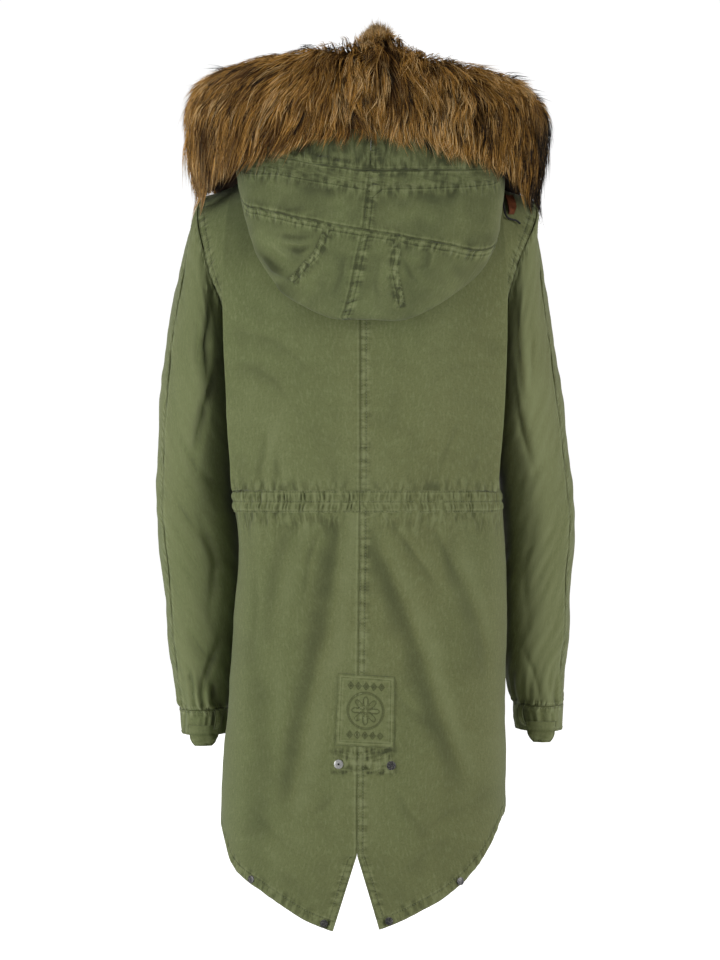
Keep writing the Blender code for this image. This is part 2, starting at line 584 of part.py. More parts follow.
CASING_ROWS = [-0.3907, -0.3965, -0.4105, -0.4165]
for side in ("left", "right"):
    count = 2 * CASING_GATHERS
    ways = [2 * j / count for j in range(count + 1)]
    ways[0], ways[-1] = 0.0006, 1.9994

    outer, inner = [], []
    for i, z in enumerate(CASING_ROWS):
        outer.append([])
        inner.append([])
        for j, q in enumerate(ways):
            near = level_point(side, q, z)
            across = level_point(side, min(q + 0.01, 1.999), z) - level_point(side, max(q - 0.01, 0.001), z)
            out = Vector((-across.y, across.x, 0)).normalized()
            seat = near + out * 0.012
            flip = 1 if side == "left" else -1
            hit = torso_tree.ray_cast(Vector((flip * seat.x, seat.y, z)), Vector((-flip * out.x, -out.y, 0)), 0.03)[0]
            near = Vector((flip * hit.x, hit.y, z)) if hit else near + out * (CLOTH / 2)
            crest = (0.0017 if i in (1, 2) else 0.0006) * (0.75 + 0.25 * math.sin(j * 1.9)) if j % 2 else 0.0
            outer[-1].append(near + out * (0.0021 + crest))
            inner[-1].append(near + out * 0.0010)
    for grid in (outer, inner):
        for row in grid:
            for p in row:
                p.x = p.x if side == "left" else -p.x
    wall("waist_casing_" + side, outer, inner, olive_cloth)


# ---- the hood, thrown back: its pouch hangs over the upper back, open upward
body_tree = BVHTree.FromPolygons(skin_points, skin_faces)


def hood_line(side, angle):
    """The six places that one line of the hood passes, from the neck seam to the fur edge."""
    mirrored = angle < 0
    angle = abs(angle)
    row = look_up(HOOD_ROWS[side], angle)
    turn = math.radians(angle)
    if angle < 90:
        neck = Vector((NECK_HALF * math.sin(turn), NECK_BACK_Y * math.cos(turn), 0.012 * math.cos(turn)))
    else:
        ahead = -math.cos(turn)
        neck = Vector((NECK_HALF * math.sin(turn), NECK_FRONT_Y * ahead, -0.045 * ahead**1.2))
    neck += Vector((0.0004 * math.sin(turn), 0.0004 * math.cos(turn), 0.0030))
    places = [neck] + [Vector(row[k:k + 3]) for k in range(0, 15, 3)]
    if mirrored:
        for place in places:
            place.x = -place.x
    return places


def hood_point(side, angle, w):
    """The hood's middle surface: w is 0 at the neck seam, 3 at the pouch's bottom, 5 at the fur edge."""
    places = hood_line(side, angle)
    if w < 0.4:
        share = max(w, 0.0) / 0.4
        rise = 0.0008 + 0.0028 * max(0.0, math.cos(math.radians(angle)))
        return places[0].lerp(hood_point(side, angle, 0.4), share) + Vector((0, 0, rise * math.sin(math.pi * share)))
    w = min(max(w, 0.0), 5.0)
    i = min(int(w), 4)
    share = w - i
    a, b = places[i], places[i + 1]
    before = places[i - 1] if i else a * 2 - b
    after = places[i + 2] if i < 4 else b * 2 - a
    point = 0.5 * (2 * a + (b - before) * share + (2 * before - 5 * a + 4 * b - after) * share**2
                   + (3 * a - before - 3 * b + after) * share**3)
    if w < 4.6:
        # The body's skin holds both sides, so a point is taken to its own side and back.
        flip = -1 if side == "right" else 1
        point.x *= flip
        point = hold_off(body_tree, point, CLOTH / 2 + 0.0044)
        point.x *= flip
    return point


# The seams aren't level: the middle one leans to the wearer's left on its way down, and the cross seam
# falls towards the wearer's right. Angles are counted from centre back, positive to the wearer's left.
MIDDLE_SEAM = [(0, 0), (1.6, 0), (3, 17), (4, 1.3), (4.42, -2.5), (5, -4)]
CROSS_SEAM = [(-176, 0), (-112, 0), (-92, -0.45), (-80, -0.60), (-72, -0.61), (-64, -0.52), (-55, -0.41),
              (-45, -0.28), (-35, -0.19), (-20, -0.11), (0, -0.06), (30, -0.015), (48, -0.02), (64, -0.07),
              (74, -0.16), (82, -0.25), (92, -0.16), (112, 0), (176, 0)]
BAND_SEAM = [(-176, 0), (-60, 0), (0, 0.0), (50, 0.08), (100, 0), (176, 0)]


def hood_place(side, angle, w):
    """A point of a hood piece, with the seams where they are sewn."""
    turned = (angle if side == "left" else -angle) + look_up_straight(MIDDLE_SEAM, w) * max(0, 1 - angle / 60)
    cross = look_up_straight(CROSS_SEAM, turned)
    band = look_up_straight(BAND_SEAM, turned)
    if 3 < w <= 4:
        w += cross * (w - 3)
    elif 4 < w <= 4.42:
        w += lerp(cross, band, (w - 4) / 0.42)
    elif w > 4.42:
        w += band * (5 - w) / 0.58
    point = hood_point("left" if turned >= 0 else "right", abs(turned), w)
    if (turned < 0) != (side == "right"):
        point.x = -point.x
    return point


HOOD_ANGLES = [0, 9, 18, 28, 38, 50, 62, 74, 86, 98, 112, 128, 144, 160, 176]
HOOD_BACK_ROWS = [0, 0.2, 0.4, 0.75, 1.1, 1.6, 2.1, 2.5, 2.8, 3.0, 3.2, 3.5, 4.0]
HOOD_CROWN_ROWS = [4.0, 4.21, 4.42]
HOOD_BAND_ROWS = [4.42, 4.6, 4.8, 5.0]
for side in ("left", "right"):
    for name, rows in (("hood_back_", HOOD_BACK_ROWS), ("hood_crown_", HOOD_CROWN_ROWS),
                       ("hood_band_", HOOD_BAND_ROWS)):
        edges = ("start", "end", "bottom") if "back" in name else ("start", "end", "top", "bottom")
        sheet_wall(name + side, lambda a, w: hood_place(side, a, w), rows, HOOD_ANGLES, olive_cloth,
                   edges=edges, mirror=side == "right")


# ---- the fur ruff round the hood's edge: the form that the long hair fills
def ruff_frame(side, angle):
    """The hood's edge, and the level way that leads outward from it."""
    here = hood_point(side, angle, 5.0)
    ahead = hood_point(side, angle + 3, 5.0) - hood_point(side, angle - 3, 5.0)
    ahead.z = 0
    out = Vector((-ahead.y, ahead.x, 0)).normalized()
    return here, out


def ruff_section(side, angle, swell):
    out, into, up, down, lip = look_up(RUFF_ROWS[side], abs(angle))
    shape = [(0.0024, 0.0008), (lip * 0.55 + 0.003, -down * 0.5), (lip, -down * 0.90), (lip + (out - lip) * 0.35, -down),
             (out * 0.90, -down * 0.62), (out, -down * 0.1), (out * 0.93, up * 0.45), (out * 0.62, up * 0.84),
             (out * 0.12, up), (-into * 0.50, up * 0.88), (-into * 0.92, up * 0.52), (-into, up * 0.10),
             (-into * 0.70, -0.004), (-0.0024, 0.0008)]
    here, way = ruff_frame(side, angle)
    points = []
    for k, (r, h) in enumerate(shape):
        grow = 1 + swell / 1000 / 0.05 if 2 < k < 12 else 1
        points.append(here + way * r * grow + Vector((0, 0, h * grow)))
    return points


ruff_angles = [173 - i * 346 / 46 for i in range(47)]
rings = []
for i, angle in enumerate(ruff_angles):
    side = "left" if angle >= 0 else "right"
    sign = 1 if side == "left" else -1
    ring = ruff_section(side, abs(angle), RUFF_LOCKS * (0.5 if i % 2 else -0.5))
    ring = [Vector((sign * p.x, p.y, p.z)) for p in ring]
    rings.append([hold_off(body_tree, p, 0.0085 if k < 6 else 0.0045) if 1 < k < 13 else p for k, p in enumerate(ring)])
count = len(rings[0])
vertices = [p for ring in rings for p in ring]
faces = [(i * count + j, i * count + (j + 1) % count, (i + 1) * count + (j + 1) % count, (i + 1) * count + j)
         for i in range(len(rings) - 1) for j in range(count)]
faces.append(tuple(range(count)))
faces.append(tuple(range((len(rings) - 1) * count, len(rings) * count))[::-1])
add_solid("fur_ruff", vertices, faces, ruff_fur)


# ---- small pieces that lie on the back
def on_back(x, z, lift):
    """A place on the outer side of the back, lifted straight off it."""
    place = torso_tree.ray_cast(Vector((x, 0.4, z)), Vector((0, -1, 0)))[0]
    if place is None or place.y < 0:
        place = torso_tree.find_nearest(Vector((x, 0.125, z)))[0]
    return place + Vector((0, lift, 0))


# The tail patch: a single layer of cloth over the centre seam. Its corners, seen from behind.
PATCH_TOP_LEFT = (0.0317, -0.6035)
PATCH_TOP_RIGHT = (-0.0349, -0.6082)
PATCH_BOTTOM_LEFT = (0.0352, -0.6877)
PATCH_BOTTOM_RIGHT = (-0.0337, -0.6912)
outer, inner = [], []
for i in range(8):
    outer.append([])
    inner.append([])
    for j in range(7):
        across, down = j / 6, i / 7
        x = lerp(lerp(PATCH_TOP_LEFT[0], PATCH_TOP_RIGHT[0], across),
                 lerp(PATCH_BOTTOM_LEFT[0], PATCH_BOTTOM_RIGHT[0], across), down)
        z = lerp(lerp(PATCH_TOP_LEFT[1], PATCH_TOP_RIGHT[1], across),
                 lerp(PATCH_BOTTOM_LEFT[1], PATCH_BOTTOM_RIGHT[1], across), down)
        inner[-1].append(on_back(x, z, 0.0010))
        outer[-1].append(on_back(x, z, 0.0022))
wall("tail_patch", outer, inner, olive_cloth)


def snap(name, x, z, radius, metal):
    """A press stud's cap: a domed ring with a hollow middle, flat on the cloth."""
    profile = [(0.0, 0.0), (0.88, 0.0), (1.0, 0.12), (0.97, 0.24), (0.80, 0.36), (0.55, 0.34), (0.36, 0.18), (0.0, 0.16)]
    centre = on_back(x, z, 0)
    slope_x = on_back(x + radius, z, 0) - on_back(x - radius, z, 0)
    slope_z = on_back(x, z + radius, 0) - on_back(x, z - radius, 0)
    out = slope_z.cross(slope_x).normalized()
    if out.y < 0:
        out = -out
    along = slope_x.normalized()
    up = out.cross(along)
    seat = max((on_back(x + radius * math.cos(k), z + radius * math.sin(k), 0) - centre).dot(out)
               for k in (0, 0.8, 1.6, 2.4, 3.2, 4.0, 4.8, 5.6))
    centre += out * (max(seat, 0) + 0.0003)
    sides = 12
    vertices = [centre + out * (profile[0][1] * radius)]
    for share, height in profile[1:-1]:
        for k in range(sides):
            turn = 2 * math.pi * k / sides
            vertices.append(centre + (along * math.cos(turn) + up * math.sin(turn)) * radius * share + out * height * radius)
    vertices.append(centre + out * (profile[-1][1] * radius))
    rings = len(profile) - 2
    faces = []
    for k in range(sides):
        n = (k + 1) % sides
        faces.append((0, 1 + n, 1 + k))
        for ring in range(rings - 1):
            a = 1 + ring * sides
            faces.append((a + k, a + n, a + sides + n, a + sides + k))
        last = 1 + (rings - 1) * sides
        faces.append((last + k, last + n, len(vertices) - 1))
    add_solid(name, vertices, faces, metal)


snap("tail_snap_left", 0.0309, -0.7097, SNAP_RADIUS, silver_metal)
snap("tail_snap_right", -0.0303, -0.7114, SNAP_RADIUS, dark_metal)
snap("hem_snap_left_outer", 0.1340, -0.8485, HEM_SNAP_RADIUS, dark_metal)
snap("hem_snap_left_inner", 0.0480, -0.8948, HEM_SNAP_RADIUS, dark_metal)
snap("hem_snap_right_inner", -0.0279, -0.8920, HEM_SNAP_RADIUS, dark_metal)
snap("hem_snap_right_outer", -0.1115, -0.8492, HEM_SNAP_RADIUS, dark_metal)

# ---- the front zip: tapes behind the front edges, a row of teeth down the middle, slider and pull tab
ZIP_TOP_Z = -0.049
ZIP_BOTTOM_Z = -0.770
SLIDER_Z = -0.078


def front_y(z):
    """The depth of the front edges' middle layer."""
    return torso_tree.ray_cast(Vector((0.0072, -0.4, z)), Vector((0, 1, 0)))[0].y + CLOTH / 2


ZIP_STEPS = [lerp(ZIP_TOP_Z, ZIP_BOTTOM_Z, (i / 16) ** 1.15) for i in range(17)]
for side in ("left", "right"):
    sign = 1 if side == "left" else -1
    section = [(0.0002, 0.0016), (0.0028, 0.0016), (0.0036, 0.0004), (0.0036, -0.0024), (0.0150, -0.0044),
               (0.0150, -0.0054), (0.0028, -0.0032), (0.0002, -0.0024)]
    rings = []
    for z in ZIP_STEPS:
        slope = (front_y(z - 0.004) - front_y(z + 0.004)) / -0.008
        out = Vector((0, -1, slope)).normalized()
        rings.append([Vector((sign * x, front_y(z), z)) + out * h for x, h in section])
    count = len(section)
    vertices = [p for ring in rings for p in ring]
    faces = [(i * count + j, i * count + (j + 1) % count, (i + 1) * count + (j + 1) % count, (i + 1) * count + j)
             for i in range(len(rings) - 1) for j in range(count)]
    faces += [tuple(range(count)), tuple(range((len(rings) - 1) * count, len(rings) * count))[::-1]]
    add_solid("zip_tape_" + side, vertices, faces, zip_tape_cloth)

# The slider rides on the teeth; the tab hangs from a pin between its ears.
slope = (front_y(SLIDER_Z - 0.004) - front_y(SLIDER_Z + 0.004)) / -0.008
zip_out = Vector((0, -1, slope)).normalized()
zip_up = Vector((0, slope, 1)).normalized()
zip_place = Vector((0, front_y(SLIDER_Z), SLIDER_Z))


def zip_solid(name, outline, low, high, metal):
    """A plate with an outline of x and height, between two distances from the cloth."""
    count = len(outline)
    vertices = [zip_place + Vector((x, 0, 0)) + zip_up * h + zip_out * lift for lift in (low, high) for x, h in outline]
    faces = [tuple(range(count)), tuple(range(count, 2 * count))[::-1]]
    faces += [(j, (j + 1) % count, count + (j + 1) % count, count + j) for j in range(count)]
    return add_solid(name, vertices, faces, metal)


SLIDER_OUTLINE = [(0.0028, -0.0075), (0.0045, -0.003), (0.0052, 0.005), (0.0030, 0.0085),
                  (-0.0030, 0.0085), (-0.0052, 0.005), (-0.0045, -0.003), (-0.0028, -0.0075)]
slider_body = zip_solid("zip_slider", SLIDER_OUTLINE, 0.0019, 0.0040, dark_metal)
ear_outlines = [[(x0, 0.0005), (x1, 0.0005), (x1, 0.0055), (x0, 0.0055)] for x0, x1 in ((0.0030, 0.0044), (-0.0044, -0.0030))]
for outline in ear_outlines:
    ear = zip_solid("ear", outline, 0.0036, 0.0074, dark_metal)
    union = slider_body.modifiers.new("ear", "BOOLEAN")
    union.operation = "UNION"
    union.solver = "EXACT"
    union.object = ear
    bpy.context.view_layer.objects.active = slider_body
    slider_body.select_set(True)
    bpy.ops.object.modifier_apply(modifier="ear")
    bpy.data.objects.remove(ear)
zip_solid("zip_pull_tab", [(0.0027, 0.0042), (0.0027, -0.0030), (0.0042, -0.0080), (0.0038, -0.0240), (0.0020, -0.0262),
                           (-0.0020, -0.0262), (-0.0038, -0.0240), (-0.0042, -0.0080), (-0.0027, -0.0030),
                           (-0.0027, 0.0042)], 0.0050, 0.0064, silver_metal)

# ---- at the wearer's right the hood's drawcord comes out beside a small leather tab, under the fur
TAB_PATH = [(-0.1725, -0.0370), (-0.1750, -0.0450), (-0.1760, -0.0530), (-0.1745, -0.0610)]
TAB_HALF = 0.0050
outer, inner = [], []
for i, (x, z) in enumerate(TAB_PATH):
    half = TAB_HALF * (1.0, 1.05, 1.0, 0.7)[i]
    outer.append([on_back(x + half * share, z, 0.0062) for share in (1, 0.33, -0.33, -1)])
    inner.append([on_back(x + half * share, z, 0.0040) for share in (1, 0.33, -0.33, -1)])
wall("hood_tab_right", outer, inner, tab_leather)

CORD_RADIUS = 0.0012
CORD_PATH = [(-0.1640, -0.0370), (-0.1648, -0.0450), (-0.1655, -0.0530), (-0.1668, -0.0610), (-0.1700, -0.0660),
             (-0.1750, -0.0680), (-0.1800, -0.0690), (-0.1850, -0.0730)]
centres = [on_back(x, z, CORD_RADIUS + 0.0038) for x, z in CORD_PATH]
vertices, faces = [], []
for i, centre in enumerate(centres):
    ahead = (centres[min(i + 1, len(centres) - 1)] - centres[max(i - 1, 0)]).normalized()
    one = ahead.cross(Vector((0, 1, 0))).normalized()
    two = ahead.cross(one).normalized()
    vertices += [centre + (one * math.cos(k * math.pi / 4) + two * math.sin(k * math.pi / 4)) * CORD_RADIUS for k in range(8)]
for i in range(len(centres) - 1):
    faces += [(i * 8 + k, i * 8 + (k + 1) % 8, (i + 1) * 8 + (k + 1) % 8, (i + 1) * 8 + k) for k in range(8)]
faces += [tuple(range(8)), tuple(range(len(vertices) - 8, len(vertices)))[::-1]]
add_solid("hood_cord_right", vertices, faces, black_cord)
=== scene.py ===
import math

import bmesh
import bpy
import numpy as np
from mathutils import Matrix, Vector
from mathutils.bvhtree import BVHTree


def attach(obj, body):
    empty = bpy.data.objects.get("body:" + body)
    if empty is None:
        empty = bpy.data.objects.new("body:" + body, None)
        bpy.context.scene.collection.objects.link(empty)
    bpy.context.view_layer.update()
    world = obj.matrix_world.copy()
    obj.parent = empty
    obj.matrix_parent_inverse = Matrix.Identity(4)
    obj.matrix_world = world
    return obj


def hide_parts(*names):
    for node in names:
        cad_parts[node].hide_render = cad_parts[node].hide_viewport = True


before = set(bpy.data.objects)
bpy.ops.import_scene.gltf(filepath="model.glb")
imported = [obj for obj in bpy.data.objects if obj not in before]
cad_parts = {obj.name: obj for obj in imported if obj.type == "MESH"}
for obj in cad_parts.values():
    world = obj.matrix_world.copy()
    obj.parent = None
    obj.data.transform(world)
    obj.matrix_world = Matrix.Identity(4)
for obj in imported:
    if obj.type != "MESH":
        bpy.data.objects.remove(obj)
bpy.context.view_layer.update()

# A hooded parka of washed olive cotton with a long fur ruff, filled out and hanging from its shoulders.
# The wearer faces -Y, and +X is the wearer's left. Each side's pieces are worked out on the left and
# mirrored for the right.

# ---- The view, the floor and the light
# The coat hangs in a pale room and is seen straight from behind, from the height of its waist.
# Two tall soft lamps stand far round to its sides, a weak one faces it, and one lights its front.
VIEW_CENTRE = Vector((0.006, 0.0, -0.378))
VIEW_DISTANCE = 3.2
VIEW_HEIGHT = 1.171  # height of what the view holds, at the coat
FLOOR_Z = -1.02

camera_data = bpy.data.cameras.new("camera")
camera_data.sensor_fit = "VERTICAL"
camera_data.sensor_height = 24
camera_data.lens = 24 * VIEW_DISTANCE / VIEW_HEIGHT
camera = bpy.data.objects.new("camera", camera_data)
camera.location = VIEW_CENTRE + Vector((0, VIEW_DISTANCE, 0))
camera.rotation_euler = (math.radians(90), 0, math.radians(180))
bpy.context.scene.collection.objects.link(camera)
bpy.context.scene.camera = camera
bpy.context.scene.view_settings.view_transform = "Standard"

bpy.ops.object.select_all(action="DESELECT")
bpy.ops.mesh.primitive_plane_add(size=30, location=(0, 0, FLOOR_Z))
floor = bpy.context.object
floor.name = "floor"
pale_floor = bpy.data.materials.new("pale_floor")
pale_floor.use_nodes = True
nodes, links = pale_floor.node_tree.nodes, pale_floor.node_tree.links
shader = nodes["Principled BSDF"]
shader.inputs["Base Color"].default_value = (0.74, 0.74, 0.74, 1)
shader.inputs["Roughness"].default_value = 0.95
shader.inputs["Emission Color"].default_value = (1.0, 1.0, 1.0, 1)
floor_place = nodes.new("ShaderNodeTexCoord")
floor_ways = nodes.new("ShaderNodeSeparateXYZ")
links.new(floor_place.outputs["Object"], floor_ways.inputs["Vector"])
glow = nodes.new("ShaderNodeMapRange")
glow.interpolation_type = "SMOOTHSTEP"
for key, value in (("From Min", -0.30), ("From Max", 0.30), ("To Min", 0.93), ("To Max", 0.05)):
    glow.inputs[key].default_value = value
links.new(floor_ways.outputs["Y"], glow.inputs["Value"])
links.new(glow.outputs["Result"], shader.inputs["Emission Strength"])
floor.data.materials.append(pale_floor)

# The room's far wall glows white before the viewer, and the rest of it is dimmer.
world = bpy.data.worlds.new("room")
world.use_nodes = True
nodes, links = world.node_tree.nodes, world.node_tree.links
way = nodes.new("ShaderNodeTexCoord")
parts = nodes.new("ShaderNodeSeparateXYZ")
links.new(way.outputs["Object"], parts.inputs["Vector"])
dim = nodes.new("ShaderNodeMapRange")
dim.interpolation_type = "SMOOTHSTEP"
for key, value in (("From Min", -0.97), ("From Max", -0.90), ("To Min", 1.02), ("To Max", 0.13)):
    dim.inputs[key].default_value = value
links.new(parts.outputs["Y"], dim.inputs["Value"])
nodes["Background"].inputs["Color"].default_value = (1.0, 1.0, 1.0, 1)
links.new(dim.outputs["Result"], nodes["Background"].inputs["Strength"])
bpy.context.scene.world = world
# columns: name, place, width, height, watts
LAMPS = [("lamp_left", (2.30, 1.55, -0.25), 1.0, 1.8, 59), ("lamp_right", (-2.30, 1.55, -0.20), 1.0, 1.8, 47),
         ("lamp_viewer", (0.3, 3.2, 0.1), 1.4, 1.4, 5), ("lamp_front", (0.8, -3.2, 1.0), 1.6, 1.6, 30)]
for name, place, width, height, watts in LAMPS:
    lamp_data = bpy.data.lights.new(name, "AREA")
    lamp_data.shape = "RECTANGLE"
    lamp_data.size = width
    lamp_data.size_y = height
    lamp_data.energy = watts
    lamp = bpy.data.objects.new(name, lamp_data)
    lamp.location = place
    lamp.rotation_euler = (VIEW_CENTRE - Vector(place)).to_track_quat("-Z", "Y").to_euler()
    bpy.context.scene.collection.objects.link(lamp)


# ---- The shell's cloth
# Heavy cotton twill, dyed olive and washed, so it is matte and a little uneven. Ridges along the seams
# have gone paler and the grooves beside the stitches darker, and light and shade are painted into the
# colour too. One point attribute, from -1 to 1, gives both, the wear and the painted light and shade.
CLOTH_PALE = (0.205, 0.228, 0.108)
CLOTH_MAIN = (0.126, 0.154, 0.060)
CLOTH_BROWN = (0.146, 0.146, 0.058)
CLOTH_DARK = (0.045, 0.052, 0.020)
THREAD_COLOUR = (0.120, 0.140, 0.062)
TWILL_PITCH = 0.0010

shell_cloth = bpy.data.materials.new("washed_olive_twill")
shell_cloth.use_nodes = True
nodes, links = shell_cloth.node_tree.nodes, shell_cloth.node_tree.links
shader = nodes["Principled BSDF"]
shader.inputs["Roughness"].default_value = 0.92
shader.inputs["Specular IOR Level"].default_value = 0.25
shader.inputs["Sheen Weight"].default_value = 0.10
shader.inputs["Sheen Roughness"].default_value = 0.5


def texture(kind, source, scale, **values):
    """A texture node on a vector source, at one scale."""
    node = nodes.new("ShaderNodeTex" + kind)
    node.inputs["Scale"].default_value = scale
    for key, value in values.items():
        node.inputs[key.replace("_", " ")].default_value = value
    links.new(source, node.inputs["Vector"])
    return node


def between(source, low, high, out_low=0.0, out_high=1.0):
    """A value moved from one range to another."""
    node = nodes.new("ShaderNodeMapRange")
    for key, value in (("From Min", low), ("From Max", high), ("To Min", out_low), ("To Max", out_high)):
        node.inputs[key].default_value = value
    links.new(source, node.inputs["Value"])
    return node.outputs["Result"]


def blend_colour(factor, a, b, mode="MIX"):
    """Two colours or sockets mixed by a factor that is a number or a socket."""
    node = nodes.new("ShaderNodeMix")
    node.data_type = "RGBA"
    node.blend_type = mode
    for socket, value in (("Factor", factor), ("A", a), ("B", b)):
        if isinstance(value, bpy.types.NodeSocket):
            links.new(value, node.inputs[socket])
        elif socket == "Factor":
            node.inputs[socket].default_value = value
        else:
            node.inputs[socket].default_value = (*value, 1)
    return node.outputs["Result"]


def sum_of(a, b, operation="ADD"):
    """Two values joined by one arithmetic step."""
    node = nodes.new("ShaderNodeMath")
    node.operation = operation
    for k, value in enumerate((a, b)):
        if isinstance(value, bpy.types.NodeSocket):
            links.new(value, node.inputs[k])
        else:
            node.inputs[k].default_value = value
    return node.outputs["Value"]


def bump_from(height, distance, strength=1.0):
    """The shader's normal from a height."""
    node = nodes.new("ShaderNodeBump")
    node.inputs["Distance"].default_value = distance
    node.inputs["Strength"].default_value = strength
    links.new(height, node.inputs["Height"])
    links.new(node.outputs["Normal"], shader.inputs["Normal"])


LINE_REACH = 0.010  # the attribute "sewn" is 1 on a sewn line and falls by 1 in this distance
where = nodes.new("ShaderNodeTexCoord")
sewn = nodes.new("ShaderNodeAttribute")
sewn.attribute_name = "sewn"
sewn_ways = nodes.new("ShaderNodeSeparateXYZ")
links.new(sewn.outputs["Vector"], sewn_ways.inputs["Vector"])
weave_map = nodes.new("ShaderNodeUVMap")
weave_map.uv_map = "weave"
wear_and_shade = nodes.new("ShaderNodeAttribute")
wear_and_shade.attribute_name = "wear_and_shade"
drawn_up = nodes.new("ShaderNodeAttribute")
drawn_up.attribute_name = "pucker"
pucker_ways = nodes.new("ShaderNodeSeparateXYZ")
links.new(drawn_up.outputs["Vector"], pucker_ways.inputs["Vector"])
place_ways = nodes.new("ShaderNodeSeparateXYZ")
links.new(where.outputs["Object"], place_ways.inputs["Vector"])


def stretched(source, x, y, z=1.0):
    """A vector source scaled unevenly, so that a pattern on it is drawn out."""
    node = nodes.new("ShaderNodeMapping")
    node.inputs["Scale"].default_value = (x, y, z)
    links.new(source, node.inputs["Vector"])
    return node.outputs["Vector"]


hanging_way = stretched(where.outputs["Object"], 1.0, 1.0, 0.5)
wash = texture("Noise", hanging_way, 13.0, Detail=6.0, Roughness=0.62)
patches = texture("Noise", hanging_way, 5.0, Detail=3.0, Distortion=0.6)
grain = texture("Noise", weave_map.outputs["UV"], 420.0, Detail=3.0, Roughness=0.7)
slub = texture("Noise", stretched(weave_map.outputs["UV"], 1.0, 0.35), 330.0, Detail=2.0)
yarn = texture("Noise", weave_map.outputs["UV"], 1300.0, Detail=2.0, Roughness=0.6)
twill = texture("Wave", weave_map.outputs["UV"], 0.444 / TWILL_PITCH, Distortion=0.6, Detail=1.0)
twill.bands_direction = "DIAGONAL"
# ridges that lie across a seam, for seams that run down the cloth and for those that run across it
PUCKER_SCALE = 160.0
ridges_down = texture("Noise", stretched(weave_map.outputs["UV"], 0.32, 1.0), PUCKER_SCALE, Detail=2.0,
                      Distortion=0.3)
ridges_across = texture("Noise", stretched(weave_map.outputs["UV"], 1.0, 0.32), PUCKER_SCALE, Detail=2.0,
                        Distortion=0.3)
ridges = sum_of(sum_of(between(ridges_down.outputs["Fac"], 0.37, 0.63, -1.0, 1.0), pucker_ways.outputs["X"],
                       "MULTIPLY"),
                sum_of(between(ridges_across.outputs["Fac"], 0.37, 0.63, -1.0, 1.0),
                       pucker_ways.outputs["Y"], "MULTIPLY"))
sewn_dark, sewn_pale = 0.0, 0.0
# each sewn line is drawn dark, with a paler band just beside it that is partly wear and partly a painted
# highlight on the ridge
for socket, strength in (("X", 0.50), ("Y", 0.54), ("Z", 0.54)):
    beyond = sum_of(sum_of(1.0, sewn_ways.outputs[socket], "SUBTRACT"), LINE_REACH, "MULTIPLY")
    on_line = between(sum_of(beyond, 0.0, "ABSOLUTE"), 0.0003, 0.0010, strength, 0.0)
    beside = sum_of(sum_of(beyond, 0.0019, "SUBTRACT"), 0.0, "ABSOLUTE")
    beside = between(beside, 0.0003, 0.0014, 0.55 * strength, 0.0)
    sewn_dark = sum_of(sewn_dark, on_line)
    sewn_pale = sum_of(sewn_pale, beside)
# the puckers' ridges are painted lighter on top and darker between, as painted light and shade, besides their
# bump
worn_and_shaded = sum_of(wear_and_shade.outputs["Fac"], sum_of(ridges, 0.58, "MULTIPLY"))
worn_and_shaded = sum_of(sum_of(worn_and_shaded, sewn_pale), sewn_dark, "SUBTRACT")
browned = sum_of(between(patches.outputs["Fac"], 0.30, 0.72, 0.20, 0.55),
                 between(place_ways.outputs["X"], 0.22, -0.22, -0.20, 0.20))
colour = blend_colour(browned, CLOTH_MAIN, CLOTH_BROWN)
colour = blend_colour(between(wash.outputs["Fac"], 0.48, 0.78, 0.0, 0.20), colour, CLOTH_PALE)
colour = blend_colour(between(wash.outputs["Fac"], 0.50, 0.25, 0.0, 0.10), colour, CLOTH_DARK)
colour = blend_colour(between(slub.outputs["Fac"], 0.48, 0.74, 0.0, 0.42), colour, CLOTH_PALE)
colour = blend_colour(between(grain.outputs["Fac"], 0.52, 0.26, 0.0, 0.42), colour, CLOTH_DARK)
colour = blend_colour(between(yarn.outputs["Fac"], 0.50, 0.20, 0.0, 0.35), colour, CLOTH_DARK)
# the attribute and the puckers make the colour paler or darker, as wear and as painted light and shade
colour = blend_colour(between(worn_and_shaded, 0.02, 1.0, 0.0, 0.80), colour, CLOTH_PALE)
colour = blend_colour(between(worn_and_shaded, -0.02, -1.0, 0.0, 0.92), colour, CLOTH_DARK)
links.new(colour, shader.inputs["Base Color"])
weave_height = sum_of(sum_of(twill.outputs["Fac"], 0.06, "MULTIPLY"),
                      sum_of(slub.outputs["Fac"], 0.16, "MULTIPLY"))
weave_height = sum_of(weave_height, sum_of(grain.outputs["Fac"], 0.16, "MULTIPLY"))
weave_height = sum_of(weave_height, sum_of(yarn.outputs["Fac"], 0.12, "MULTIPLY"))
relief_height = sum_of(sum_of(ridges, 0.75, "MULTIPLY"), sum_of(sewn_dark, 0.45, "MULTIPLY"), "SUBTRACT")
bump_from(sum_of(weave_height, relief_height), 0.001, 0.9)


# ---- The body's back
# Two panels meet in a felled seam down the centre back, sewn twice on the wearer's right. Each is folded
# at its side into a deep pleat that stands over the armhole, and below it runs on to the hem and the tail.
CLOTH = 0.0016
PLEAT_PROUD = 0.0036
SIDE_Y = 0.008
NECK_HALF = 0.078
NECK_BACK_Y = 0.066
NECK_FRONT_Y = -0.082
NECK_BACK_RISE = 0.012
NECK_FRONT_DROP = 0.045
SHOULDER_X = 0.193
SHOULDER_DROP = 0.034
NECK_SHARE = 0.42  # how much of the shoulder row is the neck's
ARM_MID_Z = -0.122
ARM_HALF_HEIGHT = 0.088
ARM_HALF_DEPTH = 0.075
UNDERARM_Z = -0.210
WAIST_Z = -0.400
SPLIT_X = 0.0096
SPLIT_Z = -0.816
